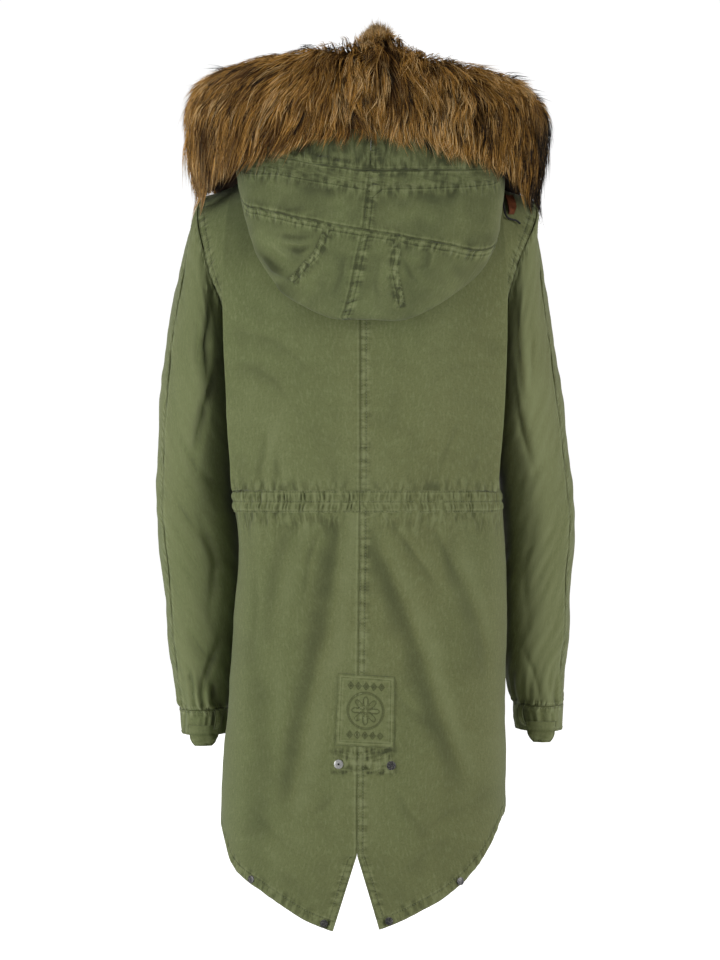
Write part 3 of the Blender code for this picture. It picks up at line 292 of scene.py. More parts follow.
# columns: z, left, right, back, front
BODY_ROWS = [
    (-0.122, 0.187, 0.181, 0.124, -0.106), (-0.210, 0.157, 0.157, 0.134, -0.127),
    (-0.300, 0.1555, 0.1555, 0.131, -0.128), (-0.400, 0.1585, 0.1640, 0.116, -0.117),
    (-0.465, 0.1520, 0.1700, 0.121, -0.122), (-0.550, 0.1590, 0.1715, 0.129, -0.131),
    (-0.610, 0.1625, 0.1700, 0.133, -0.136), (-0.660, 0.1650, 0.1690, 0.136, -0.139),
    (-0.720, 0.1720, 0.1705, 0.138, -0.141), (-0.800, 0.1730, 0.1700, 0.140, -0.141),
    (-0.930, 0.1720, 0.1700, 0.142, -0.141),
]
# The armhole's distance from the middle, by the angle round it from the shoulder tip.
ARMHOLE_X = {
    "left": [(0, 0.193), (45, 0.200), (90, 0.187), (135, 0.165), (180, 0.157)],
    "right": [(0, 0.193), (45, 0.205), (90, 0.181), (135, 0.164), (180, 0.157)],
}
# The hem's height against the way from centre back to the side seam.
HEM_Z = {
    "left": [(0, -0.904), (0.136, -0.892), (0.233, -0.881), (0.324, -0.871), (0.431, -0.860),
             (0.543, -0.851), (0.652, -0.841), (0.721, -0.831), (0.855, -0.804), (1, -0.790)],
    "right": [(0, -0.902), (0.103, -0.891), (0.198, -0.880), (0.294, -0.870), (0.359, -0.861),
              (0.445, -0.850), (0.50, -0.8405), (0.557, -0.8315), (0.61, -0.821), (0.704, -0.802),
              (0.80, -0.783), (1, -0.770)],
}
TAIL_TIP_X = {"left": 0.0375, "right": 0.0164}
FRONT_HEM_Z = -0.785
# columns: v, share, x
FOLD_ROWS = [(0.0, 0.80, 0.150), (0.5, 0.80, 0.162), (1.0, 0.80, 0.167), (2.0, 0.84, 0.1675),
             (2.5, 0.84, 0.1635), (2.947, 0.84, 0.1590), (2.960, 1.0, 0.158), (4.0, 1.0, 0.158)]
FOLD_FOOT = 2.947
# Soft troughs in the skirt: depth, half width, then x and z along each.
SKIRT_FOLDS = [
    (0.0075, 0.017, [(0.024, -0.425), (0.036, -0.50), (0.047, -0.57), (0.066, -0.64), (0.088, -0.76)]),
    (0.0045, 0.015, [(0.078, -0.425), (0.092, -0.47), (0.106, -0.53)]),
    (0.0070, 0.016, [(-0.018, -0.46), (-0.044, -0.52), (-0.066, -0.58), (-0.090, -0.66), (-0.112, -0.72)]),
    (0.0055, 0.014, [(-0.106, -0.47), (-0.130, -0.53), (-0.148, -0.58)]),
    (0.0040, 0.018, [(0.118, -0.60), (0.110, -0.70), (0.118, -0.80)]),
]
# Creases of the worn cloth: depth, half width, then x and z along each. A negative depth is a ridge.
BACK_CREASES = [
    (0.0016, 0.007, [(0.128, -0.386), (0.118, -0.350), (0.113, -0.315)]),
    (0.0014, 0.008, [(0.098, -0.386), (0.104, -0.345)]),
    (-0.0010, 0.009, [(0.110, -0.386), (0.106, -0.340), (0.090, -0.290)]),
    (0.0012, 0.010, [(0.070, -0.300), (0.110, -0.255), (0.148, -0.235)]),
    (0.0010, 0.008, [(0.060, -0.250), (0.100, -0.215), (0.150, -0.200)]),
    (0.0012, 0.009, [(-0.060, -0.280), (-0.105, -0.250), (-0.150, -0.238)]),
    (0.0011, 0.008, [(-0.085, -0.386), (-0.100, -0.340), (-0.120, -0.300)]),
    (0.0010, 0.007, [(-0.130, -0.380), (-0.138, -0.340)]),
    (0.0018, 0.009, [(0.050, -0.425), (0.066, -0.470), (0.072, -0.520)]),
    (0.0016, 0.008, [(-0.030, -0.425), (-0.058, -0.465), (-0.088, -0.505)]),
    (0.0013, 0.008, [(-0.075, -0.425), (-0.092, -0.455), (-0.110, -0.500)]),
    (0.0012, 0.011, [(-0.020, -0.600), (-0.045, -0.640), (-0.080, -0.668)]),
    (0.0012, 0.010, [(0.135, -0.450), (0.128, -0.520), (0.135, -0.590)]),
    (0.0014, 0.010, [(0.140, -0.760), (0.100, -0.800), (0.060, -0.830)]),
    (0.0011, 0.009, [(0.125, -0.820), (0.090, -0.845), (0.058, -0.872)]),
    (0.0013, 0.010, [(-0.060, -0.800), (-0.100, -0.770), (-0.145, -0.750)]),
    (0.0010, 0.008, [(-0.040, -0.845), (-0.075, -0.815), (-0.120, -0.790)]),
    (0.0011, 0.007, [(0.030, -0.735), (0.045, -0.760), (0.070, -0.775)]),
    (0.0010, 0.007, [(-0.035, -0.735), (-0.050, -0.765), (-0.072, -0.790)]),
]
CENTRE_STITCHES = (0.0016, 0.0068)  # the two rows beside the centre seam
SPLIT_STITCHES = (0.0020, 0.0082)
HEM_STITCH = 0.0112


def mix(a, b, share):
    return a + (b - a) * share


def smooth(value, low, high):
    """0 below low, 1 above high, soft between."""
    share = np.clip((value - low) / (high - low), 0, 1)
    return share * share * (3 - 2 * share)


def bell(value, width):
    return np.exp(-(value / width) ** 2)


def look_up(rows, key):
    """Every other column of a table, smoothly between its rows, by its first column."""
    table = np.array(rows, float)
    if table[0, 0] > table[-1, 0]:
        table = table[::-1]
    at, values = table[:, 0], table[:, 1:]
    slope = np.empty_like(values)
    slope[1:-1] = (values[2:] - values[:-2]) / (at[2:] - at[:-2])[:, None]
    slope[0] = (values[1] - values[0]) / (at[1] - at[0])
    slope[-1] = (values[-1] - values[-2]) / (at[-1] - at[-2])
    key = np.clip(key, at[0], at[-1])
    i = np.clip(np.searchsorted(at, key, side="right") - 1, 0, len(at) - 2)
    span = (at[i + 1] - at[i])[..., None]
    s = (key - at[i])[..., None] / span
    return ((2 * s**3 - 3 * s**2 + 1) * values[i] + (s**3 - 2 * s**2 + s) * slope[i] * span
            + (3 * s**2 - 2 * s**3) * values[i + 1] + (s**3 - s**2) * slope[i + 1] * span)


def straight(rows, key, column=1):
    """One column of a table, along straight lines between its rows."""
    return np.interp(key, [row[0] for row in rows], [row[column] for row in rows])


def xyz(x, y, z):
    return np.stack(np.broadcast_arrays(x, y, z), -1).astype(float)


def arm_edge(side, angle):
    """A point of the armhole, by the angle round it from the shoulder tip."""
    folded = np.abs((angle + 180) % 360 - 180)
    turn = np.radians(angle)
    return xyz(look_up(ARMHOLE_X[side], folded)[..., 0], ARM_HALF_DEPTH * np.sin(turn),
               ARM_MID_Z + ARM_HALF_HEIGHT * np.cos(turn))


def body_row(side, z):
    values = look_up(BODY_ROWS, z)
    return values[..., 0 if side == "left" else 1], values[..., 2], values[..., 3]


def swing(t, v):
    """How far round the body t lies, in degrees, and how far the side lies."""
    opening = 60 + 30 * np.clip(v - 1, 0, 1)
    return 60 * t + (opening - 60) * t**5, opening


def arc(side, part, z, edge_x, edge_y, round_to, opening):
    """A point on one level of the body, between its middle line and its edge."""
    half, back, front = body_row(side, z)
    a, whole = np.radians(round_to), np.radians(opening)
    power_x, power_y = (0.86, 0.82) if part == "back" else (1.0, 1.0)
    depth = (back if part == "back" else front) - edge_y
    x = edge_x * (np.sin(a) / np.sin(whole)) ** power_x
    low = np.where(opening < 89.9, np.maximum(np.cos(whole), 0) ** power_y, 0)
    y = edge_y + depth * (np.maximum(np.cos(a), 0) ** power_y - low) / (1 - low)
    return xyz(x, y, z)


def split_x(side, z):
    """How far the centre back line lies from x = 0; below the split it is the tail's edge."""
    seam = mix(0.0055, SPLIT_X, smooth(-z, 0.3, 0.8))
    seam = -seam if side == "right" else seam
    return mix(seam, TAIL_TIP_X[side], np.clip((SPLIT_Z - z) / (SPLIT_Z - HEM_Z[side][0][1]), 0, 1))


def skirt_fold(x, z):
    """The depth of the skirt's large soft troughs."""
    depth = np.zeros_like(x)
    for deep, wide, path in SKIRT_FOLDS:
        heights = [-h for at, h in path]
        middle = np.interp(-z, heights, [at for at, h in path])
        fade = (smooth(-z, heights[0] - 0.05, heights[0]
                       + 0.02) * (1 - smooth(-z, heights[-1] - 0.02, heights[-1] + 0.05)))
        depth += deep * fade * bell(x - middle, wide)
    return depth * (1 - smooth(np.abs(x), 0.135, 0.155))


def body_point(side, part, t, v):
    """The body's middle surface: t runs from the middle (0) to the side (1), and v from the shoulder (0)
    over the armhole's notch (1), the underarm (2) and the waist (3) to the hem (4)."""
    t, v = np.broadcast_arrays(np.maximum(t, 0.0), np.asarray(v, float))
    facing = 1 if part == "back" else -1
    # from the shoulder seam to the notch
    high = np.clip(v, 0, 1)
    turn = np.radians(90 * high)
    notch = arm_edge(side, np.full(t.shape, 90.0))
    under = arc(side, part, np.full(t.shape, ARM_MID_Z), notch[..., 0], notch[..., 1] * facing, 60 * t, 60.0)
    neck = np.minimum(t / NECK_SHARE, 1) * np.pi / 2
    ahead = np.maximum(np.cos(neck), 0)
    top = xyz(NECK_HALF * np.sin(neck), (NECK_BACK_Y if facing > 0 else NECK_FRONT_Y) * ahead,
              NECK_BACK_RISE * ahead if facing > 0 else -NECK_FRONT_DROP * ahead**1.2)
    along = np.clip((t - NECK_SHARE) / (1 - NECK_SHARE), 0, 1)
    shoulder = xyz(mix(NECK_HALF, SHOULDER_X, along), 0.0, -SHOULDER_DROP * along**1.25)
    top = np.where((t > NECK_SHARE)[..., None], shoulder, top)
    bulge = (arm_edge(side, 90 * high)[..., 0] - mix(SHOULDER_X, notch[..., 0], high)) * t**3
    point = xyz(mix(top[..., 0], under[..., 0], high) + bulge, mix(top[..., 1], under[..., 1], np.sin(turn)),
                mix(top[..., 2], under[..., 2], 1 - np.cos(turn)))
    # round the armhole's lower half
    low = np.clip(v, 1, 2)
    edge = arm_edge(side, 90 * low)
    level = mix(ARM_MID_Z, UNDERARM_Z, low - 1)
    middle = arc(side, part, level, edge[..., 0], facing * edge[..., 1] + SIDE_Y * (low - 1) ** 2,
                 *swing(t, low))
    middle[..., 2] = mix(level, edge[..., 2], t**3)
    point = np.where((v >= 1)[..., None], middle, point)
    # from the underarm to the waist, and the skirt
    if part == "back":
        hem = straight(HEM_Z[side], swing(t, 4.0)[0] / 90)
    else:
        hem = mix(FRONT_HEM_Z, HEM_Z[side][-1][1], smooth(t, 0, 1))
    level = np.where(v < 3, mix(UNDERARM_Z, WAIST_Z, v - 2), mix(WAIST_Z, hem, v - 3))
    lower = arc(side, part, level, body_row(side, level)[0], SIDE_Y, *swing(t, np.maximum(v, 2)))
    return np.where((v >= 2)[..., None], lower, point)


def back_point(side, t, v):
    """The back panel: t runs from the centre seam to the pleat's fold, and below the waist to the side."""
    share = straight(FOLD_ROWS, v)
    near_fold = np.where(t < 0.86, t * 0.84, mix(0.7224, 1.0, (t - 0.86) / 0.14))
    spread_out = mix(near_fold, t, smooth(v, 3.0, 3.5))
    point = body_point(side, "back", np.where(v > FOLD_FOOT + 0.001, spread_out, t * share), v)
    edge_x = body_point(side, "back", share, v)[..., 0]
    blend = smooth(v, 0, 0.3) * (1 - smooth(v, FOLD_FOOT, FOLD_FOOT + 0.013))
    point[..., 0] *= 1 + (straight(FOLD_ROWS, v, 2) / edge_x - 1) * t**2 * blend
    proud = PLEAT_PROUD * smooth(v, 0.0, 0.25) * (1 - smooth(v, 2.4, 2.93)) * smooth(t, 0.2, 0.6)
    out = np.where((v > 0.6)[..., None], xyz(0.35 * t, 1.0, 0.0), xyz(0.2 * t, 0.5, 0.8))
    point += out / np.linalg.norm(out, axis=-1, keepdims=True) * proud[..., None]
    shift = split_x(side, point[..., 2])
    point[..., 0] = shift + point[..., 0] * (1 - shift / np.maximum(body_row(side, point[..., 2])[0], 0.15))
    point[..., 1] -= skirt_fold(point[..., 0] * (1 if side == "left" else -1), point[..., 2])
    return point


def uneven(along, pitch, seed=0.0):
    """A wave of uneven length and height, from -1 to 1."""
    k = 2 * np.pi / pitch
    slow = 1.7 * np.sin(0.29 * k * along + 1.3 + seed) + 1.2 * np.sin(0.113 * k * along + 4.1 + 2.3 * seed)
    return np.sin(k * along + slow + seed) * (0.62 + 0.38 * np.sin(0.21 * k * along + 2.0 + 1.7 * seed))


def drape(x, z, size, seed):
    """Soft unevenness of hanging cloth: a few crossing waves of about one size."""
    dice = np.random.default_rng(seed)
    total = np.zeros(np.broadcast(x, z).shape)
    for turn, stretch, phase in dice.uniform((0, 0.7, 0), (np.pi, 1.5, 2 * np.pi), (7, 3)):
        total += np.sin(2 * np.pi / size * stretch * (x * np.cos(turn) + z * np.sin(turn)) + phase)
    return total / 4


def to_path(x, z, path):
    """The distance from a broken line in x and z, positive on its +X side, and the share of it passed."""
    best = np.full(np.broadcast(x, z).shape, 9.0)
    share, hand = np.zeros_like(best), np.ones_like(best)
    lengths = [math.hypot(b[0] - a[0], b[1] - a[1]) for a, b in zip(path, path[1:])]
    passed = 0.0
    for (ax, az), (bx, bz), length in zip(path, path[1:], lengths):
        along = ((x - ax) * (bx - ax) + (z - az) * (bz - az)) / length**2
        held = np.clip(along, 0, 1)
        gap = np.hypot(x - mix(ax, bx, held), z - mix(az, bz, held))
        closer = gap < best
        best = np.where(closer, gap, best)
        share = np.where(closer, (passed + held * length) / sum(lengths), share)
        turned_right = (x - ax) * (bz - az) < (z - az) * (bx - ax)
        hand = np.where(closer, np.where(turned_right, 1, -1), hand)
        passed += length
    return best * hand, share


def creases(x, z, rows):
    """The height left by a list of troughs and ridges, each deepest in its middle."""
    height = np.zeros(np.broadcast(x, z).shape)
    for deep, wide, path in rows:
        gap, share = to_path(x, z, path)
        sharp = 0.55 * bell(gap, wide) + 0.45 * bell(gap + 0.12 * wide, 0.38 * wide)
        height -= deep * sharp * np.sin(np.pi * np.clip(share, 0.06, 0.94)) ** 0.7
    return height


# the layers of a piece's relief
HEIGHT, WEAR_AND_SHADE, PUCKER_DOWN, PUCKER_ACROSS, SEAM_LINE, FIRST_ROW, SECOND_ROW = range(7)


def near_line(beyond):
    """1 on a sewn line, falling with the distance beyond it and rising before it."""
    return np.clip(1 - beyond / LINE_REACH, 0, 2)


def felled(gap, rows, runs, along, seed=0.0, depth=1.0):
    """The relief of cloth beside a sewn edge: it dips at the edge and under each row of stitches, stands up
    over the folded allowance between, and is puckered all along. The seam runs down or across the cloth."""
    last = rows[-1]
    reach = 1 - smooth(gap, last + 0.0005, last + 0.009)
    wave = uneven(along + 0.25 * gap, 0.0165, seed) * reach * depth
    height = (0.0005 * (1 - smooth(gap, last - 0.0004, last + 0.0022)) - 0.0005 * bell(gap, 0.0010)
              + 0.0006 * wave)
    # the puckers are painted lighter on their crests and darker in their hollows, partly wear and partly
    # painted light and shade; the band over the allowance is paler, partly wear and partly a painted
    # highlight
    wear_and_shade = 0.32 * wave + 0.18 * (1 - smooth(gap, last, last + 0.002))
    for row in rows:
        height = height - 0.0005 * bell(gap - row, 0.0008)
    pucker = depth * reach * smooth(gap, 0.0, 0.0008)
    layers = np.zeros((7,) + height.shape)
    layers[HEIGHT], layers[WEAR_AND_SHADE] = height, wear_and_shade
    layers[SEAM_LINE], layers[FIRST_ROW] = near_line(gap), near_line(gap - rows[0])
    if len(rows) > 1:
        layers[SECOND_ROW] = near_line(gap - last)
    layers[PUCKER_DOWN if runs == "down" else PUCKER_ACROSS] = pucker
    return layers


def joined(relief, more):
    """Two reliefs of one piece added up; a sewn line stops where it meets another."""
    lines = np.maximum(relief[SEAM_LINE:], more[SEAM_LINE:])
    return np.concatenate([relief[:SEAM_LINE] + more[:SEAM_LINE], lines])


def side_light_slope(height, piece):
    """How steeply a relief turns to the wearer's left, the side with more light; added to the colour, it
    paints light and shade on the slopes.
    """
    run = np.maximum(np.gradient(piece["u"], axis=1), 1e-6)
    return np.gradient(height, axis=1) / run * (-1 if piece["side"] == "left" else 1)


def no_relief(piece):
    return np.zeros((7,) + piece["u"].shape)


def spread(*spans):
    """Places along a line, from (start, end, steps) for each span."""
    places = [np.linspace(a, b, count, endpoint=False) for a, b, count in spans]
    return np.concatenate(places + [[spans[-1][1]]])


def run_lengths(points, axis):
    """How far each point of a grid lies from its first row or column, along the cloth."""
    steps = np.linalg.norm(np.diff(points, axis=axis), axis=-1)
    pad = [(0, 0), (0, 0)]
    pad[axis] = (1, 0)
    return np.cumsum(np.pad(steps, pad), axis=axis)


def grid_normals(points, outward):
    """The outward normals of a grid of points, rows by columns."""
    across = np.gradient(points, axis=1)
    down = np.gradient(points, axis=0)
    normals = np.cross(across, down) * outward
    return normals / np.maximum(np.linalg.norm(normals, axis=-1, keepdims=True), 1e-12)


def panel(points, side, outward=1, gap=0.00015, seams=""):
    """A cut piece before its relief: places, normals, and distances across and down, in the coat's frame."""
    points = points.copy()
    for name, edge, inner in (("top", (0, slice(None)), (1, slice(None))),
                              ("bottom", (-1, slice(None)), (-2, slice(None))),
                              ("start", (slice(None), 0), (slice(None), 1)),
                              ("end", (slice(None), -1), (slice(None), -2))):
        if name in seams:
            way = points[inner] - points[edge]
            points[edge] += way * (gap / np.maximum(np.linalg.norm(way, axis=-1, keepdims=True), 1e-9))
    if side == "right":
        points[..., 0] *= -1
        outward = -outward
    return {"points": points, "normals": grid_normals(points, outward), "outward": outward, "side": side,
            "u": run_lengths(points, 1), "v": run_lengths(points, 0)}


def raise_panel(piece, relief):
    """Moves a piece from its middle layer to its outer side, with its relief."""
    piece["points"] = piece["points"] + piece["normals"] * (CLOTH / 2 + relief[HEIGHT])[..., None]
    piece["normals"] = grid_normals(piece["points"], piece["outward"])
    return piece


outer_skins = []


def cloth_mesh(name, piece, relief, material, thickness=CLOTH, closed=False, seen_inside=False):
    """A thin shell from a piece: a grid whose points take the piece's places, made as thick as the cloth."""
    points, normals, u, v = piece["points"], piece["normals"], piece["u"], piece["v"]
    if piece["outward"] < 0:
        points, normals, relief = points[:, ::-1], normals[:, ::-1], relief[..., ::-1]
        u, v = u[:, ::-1], v[:, ::-1]
    rows, columns = points.shape[:2]
    bpy.ops.object.select_all(action="DESELECT")
    bpy.ops.mesh.primitive_grid_add(x_subdivisions=columns - 1, y_subdivisions=rows - 1)
    made = bpy.context.object
    made.name = name
    mesh = made.data
    mesh.vertices.foreach_set("co", points.reshape(-1))
    corners = np.empty(len(mesh.loops), int)
    mesh.loops.foreach_get("vertex_index", corners)
    mesh.uv_layers[0].name = "weave"
    flat = np.stack([u, v], -1).reshape(-1, 2)[corners]
    mesh.uv_layers["weave"].uv.foreach_set("vector", flat.reshape(-1))
    layer = mesh.attributes.new("wear_and_shade", "FLOAT", "POINT")
    layer.data.foreach_set("value", np.clip(relief[WEAR_AND_SHADE], -1, 1).astype(np.float32).reshape(-1))
    pucker = np.stack([relief[PUCKER_DOWN], relief[PUCKER_ACROSS], 0 * relief[HEIGHT]], -1)
    layer = mesh.attributes.new("pucker", "FLOAT_VECTOR", "POINT")
    layer.data.foreach_set("vector", np.clip(pucker, 0, 1.5).astype(np.float32).reshape(-1))
    lines = np.stack([relief[SEAM_LINE], relief[FIRST_ROW], relief[SECOND_ROW]], -1)
    layer = mesh.attributes.new("sewn", "FLOAT_VECTOR", "POINT")
    layer.data.foreach_set("vector", lines.astype(np.float32).reshape(-1))
    if closed:
        weld = made.modifiers.new("weld", "WELD")
        weld.merge_threshold = 0.00002
        bpy.ops.object.modifier_apply(modifier="weld")
    count = len(mesh.vertices)
    wall = made.modifiers.new("wall", "SOLIDIFY")
    wall.thickness = thickness
    wall.offset = -1
    bpy.ops.object.modifier_apply(modifier="wall")
    # the side that lies against the lining passes under the troughs, so it needs far fewer faces
    hidden = np.arange(count) + (0 if seen_inside else count)
    facing = -1 if seen_inside else 1
    trough = facing * relief[HEIGHT]
    for turn in range(3):
        trough[1:-1] = np.minimum(np.minimum(trough[:-2], trough[1:-1]), trough[2:])
        trough[:, 1:-1] = np.minimum(np.minimum(trough[:, :-2], trough[:, 1:-1]), trough[:, 2:])
    under = np.clip(facing * relief[HEIGHT] - trough, 0, 0.0015)
    under[[0, 1, -2, -1]] = 0
    under[:, [0, 1, -2, -1]] = 0
    if not closed:
        places = np.empty(len(mesh.vertices) * 3)
        mesh.vertices.foreach_get("co", places)
        places = places.reshape(-1, 3)
        places[hidden] -= facing * (normals * under[..., None]).reshape(-1, 3)
        mesh.vertices.foreach_set("co", places.reshape(-1))
    made.vertex_groups.new(name="hidden").add(hidden.tolist(), 1.0, "REPLACE")
    fewer = made.modifiers.new("fewer", "DECIMATE")
    fewer.ratio = 0.55
    fewer.vertex_group = "hidden"
    bpy.ops.object.modifier_apply(modifier="fewer")
    made.vertex_groups.clear()
    mesh.materials.append(material)
    bpy.ops.object.shade_smooth_by_angle(angle=math.radians(50))
    return made


def keep_skin(piece, step=3):
    """Remembers a piece's outer side, so that what lies on it can be held off it."""
    points = piece["points"][::step, ::step]
    if piece["outward"] < 0:
        points = points[:, ::-1]
    rows, columns = points.shape[:2]
    start = sum(len(skin[0]) for skin in outer_skins)
    index = start + np.arange(rows * columns).reshape(rows, columns)
    faces = np.stack([index[:-1, :-1], index[:-1, 1:], index[1:, 1:], index[1:, :-1]], -1).reshape(-1, 4)
    outer_skins.append((points.reshape(-1, 3), faces))


def skin_tree():
    points = np.concatenate([skin[0] for skin in outer_skins])
    faces = np.concatenate([skin[1] for skin in outer_skins])
    return BVHTree.FromPolygons(points.tolist(), faces.tolist())


sewn_lines = []  # each sewn line: points, outward normals, and the length of a stitch


def sew(piece, edge, gap, begin=0.0, end=1.0, stitch=0.0033):
    """A row of stitches at a distance from one edge of a piece, from begin to end of that edge's length."""
    points, normals = piece["points"], piece["normals"]
    far = piece["u"] if edge in ("start", "end") else piece["v"].T
    if edge in ("top", "bottom"):
        points, normals = points.swapaxes(0, 1), normals.swapaxes(0, 1)
    if edge in ("end", "bottom"):
        far = far[:, -1:] - far
        points, normals, far = points[:, ::-1], normals[:, ::-1], far[:, ::-1]
    first, last = int(begin * (len(points) - 1)), int(math.ceil(end * (len(points) - 1)))
    line, faces_out = [], []
    for row in range(first, last + 1):
        line.append([np.interp(gap, far[row], points[row, :, k]) for k in range(3)])
        faces_out.append([np.interp(gap, far[row], normals[row, :, k]) for k in range(3)])
    sewn_lines.append((np.array(line), np.array(faces_out), stitch))


BACK_ROWS = spread((0, 1, 30), (1, 2, 28), (2, 2.70, 40), (2.70, FOLD_FOOT, 20), (FOLD_FOOT, 2.960, 2),
                   (2.960, 3.0, 4),
                   (3, 3.10, 18), (3.10, 3.94, 124), (3.94, 4, 14))
BACK_COLUMNS = spread((0, 0.074, 10), (0.074, 0.93, 52), (0.93, 1, 6))
for side in ("left", "right"):
    sign = 1 if side == "left" else -1
    rows, columns = np.meshgrid(BACK_ROWS, BACK_COLUMNS, indexing="ij")
    piece = panel(back_point(side, columns, rows), side, seams="top start end")
    if side == "left":
        # its edge goes under the other panel's, as far as the split
        sewn = smooth(piece["points"][:, 0, 2] - SPLIT_Z, 0.002, 0.010)
        piece["points"][:, 0] -= sewn[:, None] * np.array((0.0030, 0.0020, 0))
    x, z = piece["points"][..., 0], piece["points"][..., 2]
    across, down = piece["u"], piece["v"]
    from_hem = down[-1:] - down
    relief = no_relief(piece)
    relief[HEIGHT] = (creases(x, z, BACK_CREASES) + 0.0008 * drape(x, z, 0.11, 5)
                      + 0.0003 * drape(x, z, 0.034, 6))
    # painted in the colour: shade in the creases and the skirt's troughs with their ridges lighter, partly as
    # wear; a painted shadow of the hood and ruff over the upper back; painted shade towards the hem; and
    # painted light on slopes turned to the wearer's left
    relief[WEAR_AND_SHADE] = 0.06 * drape(x, z, 0.05, 7) + 130 * relief[HEIGHT] - 22 * skirt_fold(x, z)
    relief[WEAR_AND_SHADE] -= 0.35 * smooth(z, -0.15, -0.09) + 0.20 * smooth(-z, 0.80, 0.90)
    relief[WEAR_AND_SHADE] += 1.2 * side_light_slope(relief[HEIGHT] - skirt_fold(x, z), piece)
    # the centre seam, and the tail's sewn edges below the split
    below = smooth(SPLIT_Z - z, -0.004, 0.004)
    stitched = side == "right"
    seam = felled(across, CENTRE_STITCHES if stitched else (0.0012,), "down", z, 0.4,
                  1.0 if stitched else 0.35)
    relief = joined(relief, mix(seam, felled(across, SPLIT_STITCHES, "down", z, 1.1, 0.9), below))
    # the hem's turn-up
    relief = joined(relief, felled(from_hem, (HEM_STITCH,), "across", across, 2.0 + sign,
                                   0.9) * smooth(rows, 3.5, 3.8))
    # gathers above and below the waist
    gather = ((uneven(across, 0.012, sign) * 0.0008
               + uneven(across, 0.024, 2 + sign) * 0.0011) * (1.0 if side == "left" else 0.75))
    strength = np.where(z < -0.405, bell(np.minimum(z + 0.418, 0), 0.034),
                        bell(np.maximum(z + 0.389, 0), 0.020))
    strength *= smooth(across, 0.004, 0.02)
    relief[HEIGHT] += gather * strength
    # the gathers are painted lighter on their crests and darker in their hollows, as painted light and shade
    relief[WEAR_AND_SHADE] += 150 * gather * strength
    relief[PUCKER_ACROSS] += 0.9 * strength**3
    # cloth drawn up between the tail's patch, its press studs and the row sewn below them
    stiff = (smooth(z, -0.7225, -0.7205) * smooth(-z, 0.6895, 0.6930)
             * bell(np.maximum(np.abs(x - 0.0015) - 0.032, 0), 0.006))
    relief[PUCKER_DOWN] += 0.9 * stiff
    relief[PUCKER_ACROSS] += 1.3 * stiff
    rowed = bell(z + 0.7215 - 0.05 * (x - 0.0015) ** 2 / 0.03, 0.0010) * (np.abs(x - 0.0015) < 0.0365)
    relief[WEAR_AND_SHADE] -= 0.35 * rowed
    relief[HEIGHT] -= 0.0004 * rowed
    relief[WEAR_AND_SHADE] += 0.35 * bell(across[:, -1:] - across, 0.0012) * (rows < FOLD_FOOT)
    piece = raise_panel(piece, relief)
    keep_skin(piece)
    made = cloth_mesh("back_panel_" + side, piece, relief, shell_cloth)
    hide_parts("back_" + side)
    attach(made, "parka")
    if side == "right":
        for gap in CENTRE_STITCHES:
            sew(piece, "start", gap, 0.0, 0.905)
    for gap in SPLIT_STITCHES:
        sew(piece, "start", gap, 0.912, 0.985)
    sew(piece, "bottom", HEM_STITCH, 0.0, 1.0)

# ---- The pleats' underlays
# Behind each fold the back goes on under itself to the armhole, so the arms can reach forward.
# Its armhole edge is felled and sewn twice, like the front's.
ARMHOLE_STITCHES = (0.0018, 0.0082)


def side_point(side, t, v):
    """The underlay: t runs from its hidden edge under the back panel to the armhole or side seam."""
    share = straight(FOLD_ROWS, np.minimum(v, 2.926))
    whole = mix(share - 0.17, 1.0, t)
    point = body_point(side, "back", whole, v)
    tuck = PLEAT_PROUD * (1 - smooth(v, 0, 0.25)) * (1 - smooth(whole, share, 1.0))
    point += np.array((0, 0.3, -0.95)) / math.hypot(0.3, 0.95) * tuck[..., None]
    point[..., 1] -= PLEAT_PROUD * smooth(v, 2.4, 2.93) * (1 - smooth(whole, share + 0.02, 1.0))
    return point


SIDE_ROWS = spread((0, 1, 40), (1, 2, 32), (2, 2.972, 52))
SIDE_COLUMNS = spread((0, 0.6, 8), (0.6, 1, 14))
for side in ("left", "right"):
    rows, columns = np.meshgrid(SIDE_ROWS, SIDE_COLUMNS, indexing="ij")
    piece = panel(side_point(side, columns, rows), side, seams="top end")
    x, z = piece["points"][..., 0], piece["points"][..., 2]
    from_edge = piece["u"][:, -1:] - piece["u"]
    sleeve_seam = 1 - smooth(rows, 1.8, 2.1)
    relief = felled(from_edge, ARMHOLE_STITCHES, "down", piece["v"], 0.7, 1.0) * sleeve_seam
    relief[HEIGHT] += 0.0006 * drape(x, z, 0.05, 8) - 0.0006 * bell(from_edge, 0.0012) * (1 - sleeve_seam)
    relief[WEAR_AND_SHADE] += 0.12 * drape(x, z, 0.03, 9)
    piece = raise_panel(piece, relief)
    keep_skin(piece)
    made = cloth_mesh("pleat_underlay_" + side, piece, relief, shell_cloth)
    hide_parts("back_side_" + side)
    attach(made, "parka")
    for gap in ARMHOLE_STITCHES:
        sew(piece, "end", gap, 0.0, 0.58)

